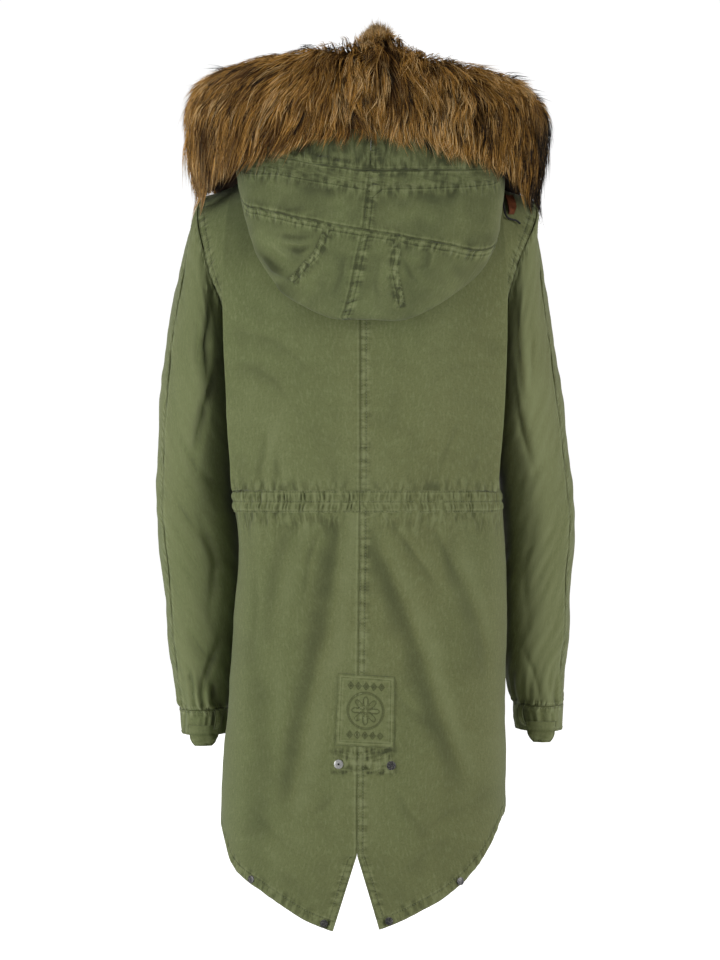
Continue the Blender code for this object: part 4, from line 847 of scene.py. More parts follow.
# ---- The fronts
# Each front is one panel from the shoulder seam to a straight turned-up hem. Its front edge is folded
# back over the zip's tape and sewn once close by and once a thumb's width away.
FRONT_EDGE_X = 0.0055
FRONT_STITCHES = (0.0022, 0.0300)
FRONT_CREASES = [
    (0.0018, 0.010, [(0.150, -0.215), (0.105, -0.245), (0.060, -0.290)]),
    (0.0014, 0.009, [(0.152, -0.235), (0.118, -0.275), (0.085, -0.330)]),
    (0.0020, 0.012, [(0.060, -0.425), (0.075, -0.500), (0.082, -0.600)]),
    (0.0016, 0.011, [(0.115, -0.430), (0.120, -0.520), (0.112, -0.620)]),
    (0.0014, 0.010, [(0.035, -0.425), (0.045, -0.480), (0.060, -0.530)]),
    (0.0012, 0.008, [(0.128, -0.386), (0.118, -0.350), (0.113, -0.315)]),
    (0.0018, 0.010, [(-0.148, -0.220), (-0.110, -0.255), (-0.072, -0.310)]),
    (0.0012, 0.009, [(-0.150, -0.245), (-0.120, -0.290), (-0.100, -0.340)]),
    (0.0019, 0.012, [(-0.052, -0.425), (-0.064, -0.510), (-0.078, -0.580)]),
    (0.0017, 0.011, [(-0.104, -0.428), (-0.112, -0.500), (-0.124, -0.640)]),
    (0.0013, 0.009, [(-0.140, -0.450), (-0.144, -0.540)]),
    (0.0011, 0.008, [(-0.120, -0.386), (-0.112, -0.350)]),
]


def front_point(side, t, v):
    """The front panel, from the zip (0) to the armhole or side seam (1)."""
    point = body_point(side, "front", t, v)
    width = np.maximum(body_row(side, point[..., 2])[0], 0.15)
    point[..., 0] = FRONT_EDGE_X + point[..., 0] * (1 - FRONT_EDGE_X / width)
    return point


FRONT_ROWS = spread((0, 1, 26), (1, 2, 20), (2, 2.75, 26), (2.75, 3.0, 14), (3, 3.12, 12), (3.12, 3.93, 64),
                    (3.93, 4, 10))
FRONT_COLUMNS = spread((0, 0.05, 6), (0.05, 0.40, 20), (0.40, 0.92, 24), (0.92, 1, 7))
for side in ("left", "right"):
    sign = 1 if side == "left" else -1
    rows, columns = np.meshgrid(FRONT_ROWS, FRONT_COLUMNS, indexing="ij")
    piece = panel(front_point(side, columns, rows), side, outward=-1, seams="top end")
    # its side edge goes a little under the back's
    piece["points"][:, -1] += smooth(rows[:, -1:], 2.9, 3.0) * np.array((-0.0006 * sign, 0.0020, 0))
    x, z = piece["points"][..., 0], piece["points"][..., 2]
    across, down = piece["u"], piece["v"]
    relief = no_relief(piece)
    relief[HEIGHT] = (creases(x, z, FRONT_CREASES) + 0.0008 * drape(x, z, 0.10, 11)
                      + 0.0003 * drape(x, z, 0.034, 12))
    # painted shade in the creases with their ridges lighter, partly as wear, and painted light on slopes
    # turned to the wearer's left
    relief[WEAR_AND_SHADE] = 0.06 * drape(x, z, 0.05, 13) + 120 * relief[HEIGHT] + 0.9 * side_light_slope(relief[HEIGHT], piece)
    relief = joined(relief, felled(across, (FRONT_STITCHES[0],), "down", down, 0.2 * sign, 0.7))
    second = bell(across - FRONT_STITCHES[1], 0.0009)
    relief[HEIGHT] -= 0.0004 * second
    relief[SECOND_ROW] += near_line(across - FRONT_STITCHES[1])
    relief[PUCKER_DOWN] += 0.6 * bell(across - FRONT_STITCHES[1], 0.004)
    relief = joined(relief, felled(down[-1:] - down, (HEM_STITCH,), "across", across, 3.0 + sign,
                                   0.9) * smooth(rows, 3.5, 3.8))
    sleeve_seam = 1 - smooth(rows, 1.8, 2.1)
    from_edge = across[:, -1:] - across
    relief = joined(relief, felled(from_edge, ARMHOLE_STITCHES, "down", down, 1.9, 1.0) * sleeve_seam)
    relief[HEIGHT] -= 0.0006 * bell(from_edge, 0.0012) * (1 - sleeve_seam)
    gather = uneven(across, 0.012, 4 + sign) * 0.0008 + uneven(across, 0.024, 5 + sign) * 0.0011
    strength = np.where(z < -0.400, bell(np.minimum(z + 0.418, 0), 0.034),
                        bell(np.maximum(z + 0.389, 0), 0.020))
    strength *= smooth(across, 0.004, 0.02)
    relief[HEIGHT] += gather * strength
    # the gathers are painted lighter on their crests and darker in their hollows, as painted light and shade
    relief[WEAR_AND_SHADE] += 150 * gather * strength
    relief[PUCKER_ACROSS] += 0.9 * strength**3
    piece = raise_panel(piece, relief)
    keep_skin(piece)
    made = cloth_mesh("front_panel_" + side, piece, relief, shell_cloth)
    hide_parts("front_" + side)
    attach(made, "parka")
    for gap in FRONT_STITCHES:
        sew(piece, "start", gap, 0.0, 1.0)
    for gap in ARMHOLE_STITCHES:
        sew(piece, "end", gap, 0.0, 0.25)
    sew(piece, "bottom", HEM_STITCH)
torso_tree = skin_tree()

# ---- The sleeves
# Each sleeve has an upper and an under piece, joined by a felled seam along the back of the arm and one
# inside it. They hang a little forward and crease at the armpit, the elbow and above the cuff.
# columns: x out, z out, x in, z in, y mid, half depth
SLEEVE_ROWS = {
    "left": [
        (0.1930, -0.034, 0.1570, -0.210, 0.000, 0.0750), (0.2065, -0.061, 0.1612, -0.221, 0.000, 0.0765),
        (0.2215, -0.110, 0.1622, -0.238, 0.000, 0.0785), (0.2365, -0.178, 0.1615, -0.266, -0.002, 0.0790),
        (0.2445, -0.245, 0.1605, -0.302, -0.005, 0.0770), (0.2535, -0.315, 0.1600, -0.345, -0.018, 0.0735),
        (0.2560, -0.385, 0.1615, -0.395, -0.037, 0.0700), (0.2552, -0.440, 0.1530, -0.443, -0.053, 0.0670),
        (0.2525, -0.495, 0.1500, -0.495, -0.057, 0.0640), (0.2460, -0.550, 0.1530, -0.550, -0.059, 0.0610),
        (0.2385, -0.605, 0.1575, -0.603, -0.058, 0.0580), (0.2345, -0.642, 0.1630, -0.641, -0.060, 0.0555),
        (0.2290, -0.660, 0.1680, -0.659, -0.060, 0.0530),
    ],
    "right": [
        (0.1930, -0.034, 0.1570, -0.210, 0.000, 0.0750), (0.2000, -0.058, 0.1612, -0.221, 0.000, 0.0765),
        (0.2130, -0.105, 0.1622, -0.238, 0.000, 0.0785), (0.2240, -0.172, 0.1615, -0.266, -0.002, 0.0790),
        (0.2335, -0.240, 0.1605, -0.302, -0.005, 0.0770), (0.2460, -0.305, 0.1605, -0.345, -0.018, 0.0735),
        (0.2540, -0.375, 0.1670, -0.395, -0.038, 0.0700), (0.2587, -0.440, 0.1690, -0.443, -0.051, 0.0670),
        (0.2570, -0.495, 0.1680, -0.495, -0.052, 0.0640), (0.2543, -0.550, 0.1690, -0.550, -0.057, 0.0610),
        (0.2480, -0.600, 0.1710, -0.600, -0.060, 0.0580), (0.2478, -0.638, 0.1790, -0.637, -0.062, 0.0555),
        (0.2455, -0.655, 0.1860, -0.654, -0.062, 0.0530),
    ],
}
# Creases on the arm: depth, half width, then the angle round it and the height along each.
SLEEVE_CREASES = {
    "left": [
        (0.0040, 0.010, [(108, -0.150), (100, -0.215), (112, -0.270)]),
        (0.0030, 0.009, [(128, -0.235), (105, -0.290), (92, -0.350)]),
        (0.0022, 0.008, [(82, -0.190), (92, -0.245)]),
        (0.0018, 0.009, [(70, -0.330), (95, -0.365), (128, -0.385)]),
        (0.0022, 0.010, [(96, -0.420), (112, -0.480), (104, -0.540)]),
        (0.0018, 0.009, [(62, -0.400), (86, -0.440), (112, -0.452)]),
        (0.0016, 0.008, [(66, -0.560), (90, -0.590), (118, -0.600)]),
        (0.0024, 0.008, [(120, -0.570), (96, -0.615), (84, -0.650)]),
        (0.0018, 0.006, [(64, -0.605), (70, -0.652)]),
        (0.0018, 0.006, [(112, -0.625), (108, -0.656)]),
        (0.0022, 0.011, [(-60, -0.150), (-75, -0.220), (-62, -0.300)]),
        (0.0020, 0.010, [(-40, -0.330), (-70, -0.370), (-104, -0.380)]),
        (0.0020, 0.010, [(-50, -0.440), (-82, -0.425), (-112, -0.430)]),
        (0.0018, 0.009, [(-88, -0.560), (-70, -0.610), (-74, -0.652)]),
        (0.0016, 0.010, [(6, -0.300), (0, -0.380), (12, -0.450)]),
    ],
    "right": [
        (0.0040, 0.010, [(104, -0.160), (112, -0.220), (104, -0.280)]),
        (0.0030, 0.009, [(124, -0.245), (112, -0.310), (98, -0.365)]),
        (0.0022, 0.008, [(78, -0.200), (88, -0.262)]),
        (0.0020, 0.009, [(72, -0.350), (98, -0.372), (126, -0.380)]),
        (0.0020, 0.010, [(100, -0.430), (116, -0.490), (108, -0.560)]),
        (0.0016, 0.009, [(60, -0.425), (84, -0.452), (108, -0.458)]),
        (0.0022, 0.008, [(118, -0.580), (98, -0.612), (90, -0.648)]),
        (0.0016, 0.006, [(66, -0.610), (72, -0.648)]),
        (0.0022, 0.011, [(-56, -0.140), (-72, -0.215), (-66, -0.290)]),
        (0.0020, 0.010, [(-36, -0.350), (-68, -0.376), (-100, -0.380)]),
        (0.0020, 0.010, [(-52, -0.455), (-80, -0.436), (-112, -0.440)]),
        (0.0018, 0.009, [(-86, -0.570), (-72, -0.610), (-70, -0.646)]),
        (0.0016, 0.010, [(4, -0.320), (8, -0.400), (0, -0.470)]),
    ],
}
SLEEVE_STITCH = 0.0020


def sleeve_point(side, a, s):
    """The sleeve: a is the angle round the arm from its outer line towards the back, s the table's row."""
    rows = [(i,) + row for i, row in enumerate(SLEEVE_ROWS[side])]
    x_out, z_out, x_in, z_in, y_mid, depth = np.moveaxis(look_up(rows, s), -1, 0)
    turn = np.radians(a)
    level = np.cos(turn)
    across_x, across_z = (x_out - x_in) / 2, (z_out - z_in) / 2
    point = xyz((x_out + x_in) / 2 + across_x * level, y_mid + depth * np.sin(turn), (z_out + z_in) / 2
                + across_z * level)
    ellipse = np.where(level > 0, mix(0.175, 0.193, level), mix(0.175, 0.157, -level))
    point[..., 0] += (arm_edge(side, a)[..., 0] - ellipse) * (1 - smooth(s, 0.0, 2.5))
    point[..., 0] += (0.0011 + 0.0009 * ((1 - level) / 2) ** 2) * (1 - smooth(s, 0.0, 1.0))
    sway = 0.0018 * np.maximum(level, 0) * np.sin(s * 2.1) * smooth(s, 2, 5) * (1 - smooth(s, 11, 12))
    size = np.hypot(across_x, across_z)
    point[..., 0] += across_x / size * sway
    point[..., 2] += across_z / size * sway
    return point


SLEEVE_STEPS = spread((0, 0.3, 8), (0.3, 11.0, 130), (11.0, 12, 14))
UPPER_ANGLES = spread((-130, -122, 4), (-122, 32, 42), (32, 40, 5))
UNDER_ANGLES = spread((40, 48, 5), (48, 222, 50), (222, 230, 3))
for side in ("left", "right"):
    sign = 1 if side == "left" else -1
    for name, angles in (("upper_sleeve_", UPPER_ANGLES), ("under_sleeve_", UNDER_ANGLES)):
        steps, turned = np.meshgrid(SLEEVE_STEPS, angles, indexing="ij")
        piece = panel(sleeve_point(side, turned, steps), side, outward=-1, seams="bottom start end")
        across, down = piece["u"], piece["v"]
        z = piece["points"][..., 2]
        arm_x = np.radians((turned + 180) % 360 - 180) * 0.062
        rows_here = [(deep, wide, [(math.radians(a) * 0.062, h) for a, h in path]) for deep, wide,
                     path in SLEEVE_CREASES[side]]
        relief = no_relief(piece)
        strong = 1.9 if side == "left" else mix(0.75, 1.5, smooth(z, -0.42, -0.30))
        relief[HEIGHT] = (strong * creases(arm_x, z, rows_here) + 0.0012 * drape(across, down, 0.085, 21)
                          + 0.0005 * drape(across, down, 0.032, 22))
        # painted light: each sleeve is a little lighter all round and more so over its back, the right one
        # more
        relief[WEAR_AND_SHADE] = (0.12 + (0.24 * bell(turned - 84, 42) if side == "left"
                                else 0.55 * bell(turned - 94, 40)))
        folds_show = 1.0 if side == "left" else 0.6
        # painted shade in the creases with their ridges lighter, partly as wear, and painted light on slopes
        # turned to the wearer's left, weaker on the right sleeve
        relief[WEAR_AND_SHADE] += 0.08 * drape(across, down, 0.045, 23) + 140 * folds_show * relief[HEIGHT]
        relief[WEAR_AND_SHADE] += 1.4 * folds_show * side_light_slope(relief[HEIGHT], piece)
        # painted shade over each sleeve's inner side, which faces the body
        dark_from = 100 if side == "left" else mix(106, 120, smooth(z, -0.50, -0.40))
        relief[WEAR_AND_SHADE] -= 0.62 * smooth(turned, dark_from, 150) * (1 - smooth(turned, 215, 228)) * (turned > 40)
        upper = "upper" in name
        near, far_edge = (across[:, -1:] - across, across) if upper else (across, across[:, -1:] - across)
        relief = joined(relief, felled(near, (SLEEVE_STITCH,), "down", down, 0.3 * sign,
                                       1.0 if upper else 0.4))
        relief = joined(relief, felled(far_edge, (SLEEVE_STITCH,), "down", down, 0.9, 0.3))
        relief = joined(relief, felled(down, (0.0015,), "across", across, 2.2, 0.9))
        relief = joined(relief, felled(down[-1:] - down, (0.0015,), "across", across, 1.2, 1.2))
        # short folds where the cap is eased in, and where the cuff draws the sleeve in; they are painted
        # lighter on their crests and darker in their hollows, as painted light and shade
        ease = uneven(across, 0.017, 1.5 + sign) * bell(down, 0.030) * smooth(down, 0.0, 0.006)
        drawn = (uneven(across, 0.015, 0.5 + sign) * bell(down[-1:] - down, 0.030)
                 * smooth(down[-1:] - down, 0.0, 0.006))
        relief[HEIGHT] += 0.0011 * ease + 0.0024 * drawn
        relief[WEAR_AND_SHADE] += 0.25 * ease + 0.50 * drawn
        piece = raise_panel(piece, relief)
        keep_skin(piece)
        made = cloth_mesh(name + "piece_" + side, piece, relief, shell_cloth)
        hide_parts(name + side)
        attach(made, "parka")
        if "upper" in name:
            sew(piece, "end", SLEEVE_STITCH)
body_tree = skin_tree()

# ---- The cuffs
# A doubled band closes the end of each sleeve, sewn on with the gathers under it. A pointed tab of the
# same cloth lies on the back of the band, and a narrow loop stands beside it.
CUFF_DROP = {"left": 0.0305, "right": 0.0310}
CUFF_STITCH = 0.0022
# columns: drop, width
TAB_ROWS = [(0.60, 1.0), (0.80, 1.0), (1.0, 0.95), (1.28, 0.72), (1.42, 0.52)]


def cuff_point(side, a, drop, lift):
    """The cuff's band: drop is 0 at the sleeve and 1 at the wrist."""
    x_out, z_out, x_in, z_in, y_mid, depth = SLEEVE_ROWS[side][-1]
    turn = np.radians(a)
    held = np.minimum(drop, 1.0)
    narrow = 0.05 * held
    half = (x_out - x_in) / 2 * (1 - narrow) + lift
    middle = (x_out + x_in) / 2 + (-0.001 if side == "left" else 0.0005) * held
    return xyz(middle + half * np.cos(turn), y_mid + (depth * (1 - narrow) + lift) * np.sin(turn),
               mix(z_out, z_in, (1 - np.cos(turn)) / 2) - 0.0004 - CUFF_DROP[side] * drop)


for side in ("left", "right"):
    sign = 1 if side == "left" else -1
    drops, turned = np.meshgrid(spread((0, 0.12, 4), (0.12, 0.88, 10), (0.88, 1, 4)),
                                np.linspace(0, 360, 121), indexing="ij")
    piece = panel(cuff_point(side, turned, drops, 0.0002), side, outward=-1)
    across, down = turned / 360 * 0.24, piece["v"]
    across[:, -1] = 0.0
    piece["points"][:, -1] = piece["points"][:, 0]
    ends = piece["normals"][:, 0] + piece["normals"][:, -1]
    piece["normals"][:, [0, -1]] = (ends / np.linalg.norm(ends, axis=-1, keepdims=True))[:, None]
    relief = felled(down, (CUFF_STITCH,), "across", across, 0.8, 1.2)
    relief = joined(relief, felled(down[-1:] - down, (CUFF_STITCH,), "across", across, 1.7, 0.8))
    ripple = (uneven(across + 0.006 * drops, 0.013, 1.0
                     + sign) * np.sin(np.pi * drops) * np.abs(np.sin(np.radians(turned / 2))) ** 0.5)
    relief[HEIGHT] += 0.0019 * ripple
    # the ripples are painted lighter on their crests and darker in their hollows, as painted light and shade;
    # the whole band is a little paler, the right one more
    relief[WEAR_AND_SHADE] += 0.60 * ripple + (0.16 if side == "left" else 0.34)
    relief[..., -1] = relief[..., 0]
    piece = raise_panel(piece, relief)
    made = cloth_mesh("cuff_band_" + side, piece, relief, shell_cloth, 0.0018, closed=True)
    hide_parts("cuff_" + side)
    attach(made, "parka")
    sew(piece, "top", CUFF_STITCH)
    sew(piece, "bottom", CUFF_STITCH)

    # a narrow loop stands on the band's inner side, beside the tab
    ups, steps = np.meshgrid(np.linspace(0, 1, 22), np.linspace(-1, 1, 7), indexing="ij")
    bow = 0.0012 + 0.0068 * np.sin(np.pi * ups) ** 0.6
    lean = 7.0 * ups if side == "right" else 3.0 * ups
    piece = panel(cuff_point(side, (121 if side == "left" else 137) - lean + steps * 5.7, 0.02 + 0.76 * ups,
                             bow), side, outward=-1)
    rim = np.minimum(piece["u"], piece["u"][:, -1:] - piece["u"])
    relief = felled(rim, (0.0014,), "down", piece["v"], 0.2, 0.4)
    # painted light and shade: the loop's bowed middle is lighter and its edges dark
    relief[WEAR_AND_SHADE] += 0.55 * np.sin(np.pi * ups) - 0.90 * bell(rim, 0.0012)
    piece = raise_panel(piece, relief)
    made = cloth_mesh("cuff_loop_" + side, piece, relief, shell_cloth, 0.0012)
    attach(made, "parka")

    drops = spread((0.60, 1.0, 14), (1.0, 1.42, 16))
    steps = spread((-3, -2.4, 4), (-2.4, 2.4, 16), (2.4, 3, 4))
    drops, steps = np.meshgrid(drops, steps, indexing="ij")
    width = look_up(TAB_ROWS, drops)[..., 0]
    piece = panel(cuff_point(side, 90 + steps * 12.5 * width, drops, 0.0022), side, outward=-1)
    across, down = piece["u"], piece["v"]
    rim = np.minimum(np.minimum(across, across[:, -1:] - across), down[-1:] - down)
    relief = felled(rim, (CUFF_STITCH,), "down", across + down, 0.6, 0.8)
    relief[HEIGHT] -= 0.0012 * bell(drops - 0.98, 0.12) + 0.0008 * uneven(across, 0.018, sign)
    # painted shade where the tab dips over the band's lower edge; the rest of the tab is a little paler
    relief[WEAR_AND_SHADE] += 0.25 - 0.6 * bell(drops - 0.98, 0.06)
    piece = raise_panel(piece, relief)
    made = cloth_mesh("cuff_tab_piece_" + side, piece, relief, shell_cloth, 0.0014)
    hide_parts("cuff_tab_" + side)
    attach(made, "parka")
    sew(piece, "start", CUFF_STITCH, 0.0, 0.93)
    sew(piece, "end", CUFF_STITCH, 0.0, 0.93)
    sew(piece, "bottom", CUFF_STITCH, 0.1, 0.9)

# ---- The waist's drawcord casing
# A strip sewn round the waist in three rows makes two channels for the drawcord, which gathers it.
CASING_TOP_Z = -0.3905
CASING_BOTTOM_Z = -0.4165
CASING_STITCH_SHARES = (0.055, 0.50, 0.945)
CASING_PITCH = 0.0056


def level_point(side, q, z):
    """A point at one height: q runs from centre back (0) over the side (1) to the zip (2)."""
    t = np.where(q < 1, q, 2 - q)
    width = body_row(side, z)[0]
    back = arc(side, "back", z, width, SIDE_Y, 90 * t, 90.0)
    front = arc(side, "front", z, width, SIDE_Y, 90 * t, 90.0)
    shift = np.where(q < 1, split_x(side, z), FRONT_EDGE_X)
    point = np.where((q < 1)[..., None], back, front)
    point[..., 0] = shift + point[..., 0] * (1 - shift / np.maximum(width, 0.15))
    point[..., 1] -= np.where(q < 1, skirt_fold(point[..., 0] * (1 if side == "left" else -1), z), 0)
    return point


for side in ("left", "right"):
    sign = 1 if side == "left" else -1
    shares, ways = np.meshgrid(spread((0, 0.11, 3), (0.11, 0.89, 14), (0.89, 1, 3)),
                               np.linspace(0.0008, 1.9992, 470), indexing="ij")
    heights = mix(CASING_TOP_Z, CASING_BOTTOM_Z, shares)
    piece = panel(level_point(side, ways, heights), side)
    across = piece["u"]
    row_gap = np.min([np.abs(shares - s) for s in CASING_STITCH_SHARES], axis=0)
    puff = smooth(row_gap, 0.0, 0.17) * smooth(np.minimum(shares, 1 - shares), 0.0, 0.09)
    drawn = 1.0 if side == "left" else 0.72
    wave = uneven(across + 0.0016 * np.sin(5 * shares), CASING_PITCH, 0.5 + sign + 0.25 * (shares > 0.5))
    sharp = np.sign(wave) * np.abs(wave) ** 0.8
    relief = no_relief(piece)
    relief[HEIGHT] = 0.0008 + puff * (0.0008 + 0.0013 * drawn * sharp) + 0.0005 * sharp * drawn * (1 - puff)
    relief[HEIGHT] -= 0.0004 * bell(row_gap, 0.03)
    # the gathers are painted lighter on their crests and darker in their hollows, as painted light and shade;
    # the strip is a little paler overall and more so along its folded edges
    relief[WEAR_AND_SHADE] = (0.16 + 0.50 * sharp * drawn * (0.5 + 0.5 * puff)
                    + 0.20 * bell(np.minimum(shares, 1 - shares), 0.03))
    deep = (CASING_TOP_Z - CASING_BOTTOM_Z) * shares
    outer_row = CASING_STITCH_SHARES[0] * deep[-1, 0]
    relief[FIRST_ROW] = near_line(deep - outer_row) + near_line(deep[-1, 0] - deep - outer_row)
    relief[SECOND_ROW] = near_line(deep - deep[-1, 0] / 2)
    relief[PUCKER_ACROSS] = 0.8
    piece = raise_panel(piece, relief)
    made = cloth_mesh("waist_casing_strip_" + side, piece, relief, shell_cloth, 0.0008)
    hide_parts("waist_casing_" + side)
    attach(made, "parka")
    for share in CASING_STITCH_SHARES:
        sew(piece, "top", share * (CASING_TOP_Z - CASING_BOTTOM_Z))

# ---- The hood
# Thrown back, it hangs as a pouch over the upper back. Below a cross seam it has a left and a right piece
# with a dart each, above it a crown, and a band along the opening that carries the fur.
# columns: angle, rest x, rest y, rest z, low x, low y, low z, bottom x, bottom y, bottom z, out x,
# out y, out z, edge x, edge y, edge z
HOOD_ROWS = {
    "left": [
        (0, 0.000, 0.125, -0.060, 0.000, 0.150, -0.150, 0.000, 0.176, -0.190, 0.000, 0.205, -0.085, 0.000,
         0.172, 0.068),
        (28, 0.034, 0.122, -0.050, 0.042, 0.146, -0.145, 0.046, 0.170, -0.186, 0.052, 0.196, -0.080, 0.060,
         0.160, 0.068),
        (52, 0.062, 0.108, -0.035, 0.086, 0.132, -0.110, 0.098, 0.152, -0.155, 0.104, 0.170, -0.065, 0.110,
         0.127, 0.066),
        (76, 0.084, 0.066, -0.004, 0.108, 0.110, -0.060, 0.130, 0.126, -0.098, 0.142, 0.130, -0.040, 0.143,
         0.074, 0.060),
        (102, 0.096, 0.010, 0.012, 0.112, 0.028, 0.006, 0.140, 0.050, -0.004, 0.156, 0.040, 0.022, 0.154,
         0.006, 0.050),
        (128, 0.082, -0.054, 0.004, 0.095, -0.060, 0.000, 0.112, -0.066, -0.006, 0.130, -0.070, 0.014,
         0.130, -0.066, 0.036),
        (152, 0.050, -0.088, -0.014, 0.056, -0.100, -0.016, 0.066, -0.112, -0.016, 0.076, -0.118, -0.002,
         0.078, -0.110, 0.018),
        (176, 0.0052, -0.095, -0.034, 0.0052, -0.103, -0.032, 0.0054, -0.112, -0.028, 0.0056, -0.121,
         -0.018, 0.0058, -0.119, 0.000),
    ],
    "right": [
        (0, 0.000, 0.125, -0.060, 0.000, 0.150, -0.150, 0.000, 0.176, -0.190, 0.000, 0.205, -0.085, 0.000,
         0.172, 0.068),
        (28, 0.036, 0.122, -0.050, 0.046, 0.146, -0.147, 0.052, 0.170, -0.188, 0.056, 0.198, -0.082, 0.060,
         0.162, 0.066),
        (52, 0.066, 0.108, -0.037, 0.096, 0.134, -0.116, 0.110, 0.154, -0.156, 0.118, 0.172, -0.070, 0.116,
         0.130, 0.062),
        (76, 0.088, 0.066, -0.006, 0.120, 0.108, -0.070, 0.148, 0.126, -0.108, 0.158, 0.134, -0.048, 0.148,
         0.076, 0.054),
        (102, 0.096, 0.010, 0.012, 0.113, 0.028, 0.006, 0.146, 0.052, -0.012, 0.162, 0.042, 0.014, 0.157,
         0.006, 0.044),
        (128, 0.082, -0.054, 0.004, 0.095, -0.060, 0.000, 0.112, -0.066, -0.006, 0.130, -0.070, 0.012,
         0.132, -0.066, 0.034),
        (152, 0.050, -0.088, -0.014, 0.056, -0.100, -0.016, 0.066, -0.112, -0.016, 0.076, -0.118, -0.002,
         0.078, -0.110, 0.018),
        (176, 0.0052, -0.095, -0.034, 0.0052, -0.103, -0.032, 0.0054, -0.112, -0.028, 0.0056, -0.121,
         -0.018, 0.0058, -0.119, 0.000),
    ],
}
HOOD_CLEAR = CLOTH / 2 + 0.0044


def hold_off(tree, point, clear):
    """Moves a point out until it stands clear of the cloth below it."""
    point = Vector(point)
    for turn in range(4):
        place, normal, index, gap = tree.find_nearest(point)
        height = (point - place).dot(normal)
        if gap > 0.03 or height >= clear - 1e-6:
            break
        point = point + normal * (clear - height)
    return point


def hood_point(side, angle, w):
    """The hood's middle surface: w is 0 at the neck seam, 3 at the pouch's bottom, 4 at the cross seam and
    5 at the fur edge; the angle runs round the neck from centre back."""
    angle, w = np.broadcast_arrays(np.asarray(angle, float), np.asarray(w, float))
    row = look_up(HOOD_ROWS[side], np.abs(angle)).reshape(angle.shape + (5, 3))
    turn = np.radians(np.abs(angle))
    ahead = np.abs(np.cos(turn))
    behind = np.abs(angle) < 90
    neck = xyz(NECK_HALF * np.sin(turn), np.where(behind, NECK_BACK_Y, NECK_FRONT_Y) * ahead,
               np.where(behind, NECK_BACK_RISE * ahead, -NECK_FRONT_DROP * ahead**1.2))
    neck += xyz(0.0004 * np.sin(turn), 0.0004 * np.cos(turn), 0.0030)
    places = np.concatenate([neck[..., None, :], row], axis=-2)
    places[..., 0] *= np.where(angle < 0, -1, 1)[..., None]
    held = np.clip(w, 0.4, 5.0)
    i = np.clip(held.astype(int), 0, 4)
    share = (held - i)[..., None]

    def place(k):
        return np.take_along_axis(places, np.clip(k, 0, 5)[..., None, None], axis=-2)[..., 0, :]
    a, b = place(i), place(i + 1)
    before = np.where((i > 0)[..., None], place(i - 1), 2 * a - b)
    after = np.where((i < 4)[..., None], place(i + 2), 2 * b - a)
    point = 0.5 * (2 * a + (b - before) * share + (2 * before - 5 * a + 4 * b - after) * share**2
                   + (3 * a - before - 3 * b + after) * share**3)
    flip = -1 if side == "right" else 1
    flat, depth = point.reshape(-1, 3), held.reshape(-1)
    for n in np.nonzero(depth < 4.6)[0]:
        x, y, z = flat[n]
        moved = hold_off(body_tree, (x * flip, y, z), HOOD_CLEAR)
        flat[n] = (moved.x * flip, moved.y, moved.z)
    rise = (0.0008 + 0.0028 * np.maximum(0, np.cos(turn))) * np.sin(np.pi * np.clip(w / 0.4, 0, 1))
    near = mix(neck, point, np.clip(w / 0.4, 0, 1)[..., None])
    near[..., 2] += rise
    return np.where((w < 0.4)[..., None], near, point)


# How far the centre seam and the two cross seams wander: degrees at each w, and w at each angle.
MIDDLE_SEAM = [(0, 0), (1.6, 0), (3, 17), (4, 1.3), (4.42, -2.5), (5, -4)]
CROSS_SEAM = [(-176, 0), (-112, 0), (-92, -0.45), (-80, -0.60), (-72, -0.61), (-64, -0.52), (-55, -0.41),
              (-45, -0.28), (-35, -0.19), (-20, -0.11), (0, -0.06), (30, -0.015), (48, -0.02), (64, -0.07),
              (74, -0.16), (82, -0.25), (92, -0.16), (112, 0), (176, 0)]
BAND_SEAM = [(-176, 0), (-60, 0), (0, 0.0), (50, 0.08), (100, 0), (176, 0)]


def hood_place(side, angle, w):
    """A point of a hood piece, with its seams where they are sewn."""
    turned = (angle if side == "left" else -angle) + straight(MIDDLE_SEAM, w) * np.maximum(0, 1 - angle / 60)
    cross, band = straight(CROSS_SEAM, turned), straight(BAND_SEAM, turned)
    moved = w + np.select([w <= 3, w <= 4, w <= 4.42],
                          [0.0 * w, cross * (w - 3), mix(cross, band, (w - 4) / 0.42)],
                          band * (5 - w) / 0.58)
    point = np.zeros(w.shape + (3,))
    for over, here in (("left", turned >= 0), ("right", turned < 0)):
        if here.any():
            found = hood_point(over, np.abs(turned[here]), moved[here])
            point[here] = found * ((1, 1, 1) if over == side else (-1, 1, 1))
    return point


def sew_inside(piece, path, beside, stitch=0.0033):
    """A row of stitches on a piece, beside a line given in x and z; positive is on the line's +X side."""
    path = np.array(path)
    steps = np.linspace(0, 1, 40)
    knots = np.linspace(0, 1, len(path))
    line = np.stack([np.interp(steps, knots, path[:, k]) for k in (0, 1)], -1)
    ahead = np.gradient(line, axis=0)
    ahead /= np.linalg.norm(ahead, axis=-1, keepdims=True)
    line = line + np.stack([-ahead[:, 1], ahead[:, 0]], -1) * beside
    points, normals = piece["points"].reshape(-1, 3), piece["normals"].reshape(-1, 3)
    outer = points[:, 1] > 0.10
    places, faces_out = [], []
    for x, z in line:
        gap = np.hypot(points[:, 0] - x, points[:, 2] - z) + np.where(outer, 0, 1) - 0.2 * points[:, 1]
        near = np.argsort(gap)[:4]
        places.append((x, points[near, 1].mean(), z))
        faces_out.append(normals[near].mean(axis=0))
    sewn_lines.append((np.array(places), np.array(faces_out), stitch))


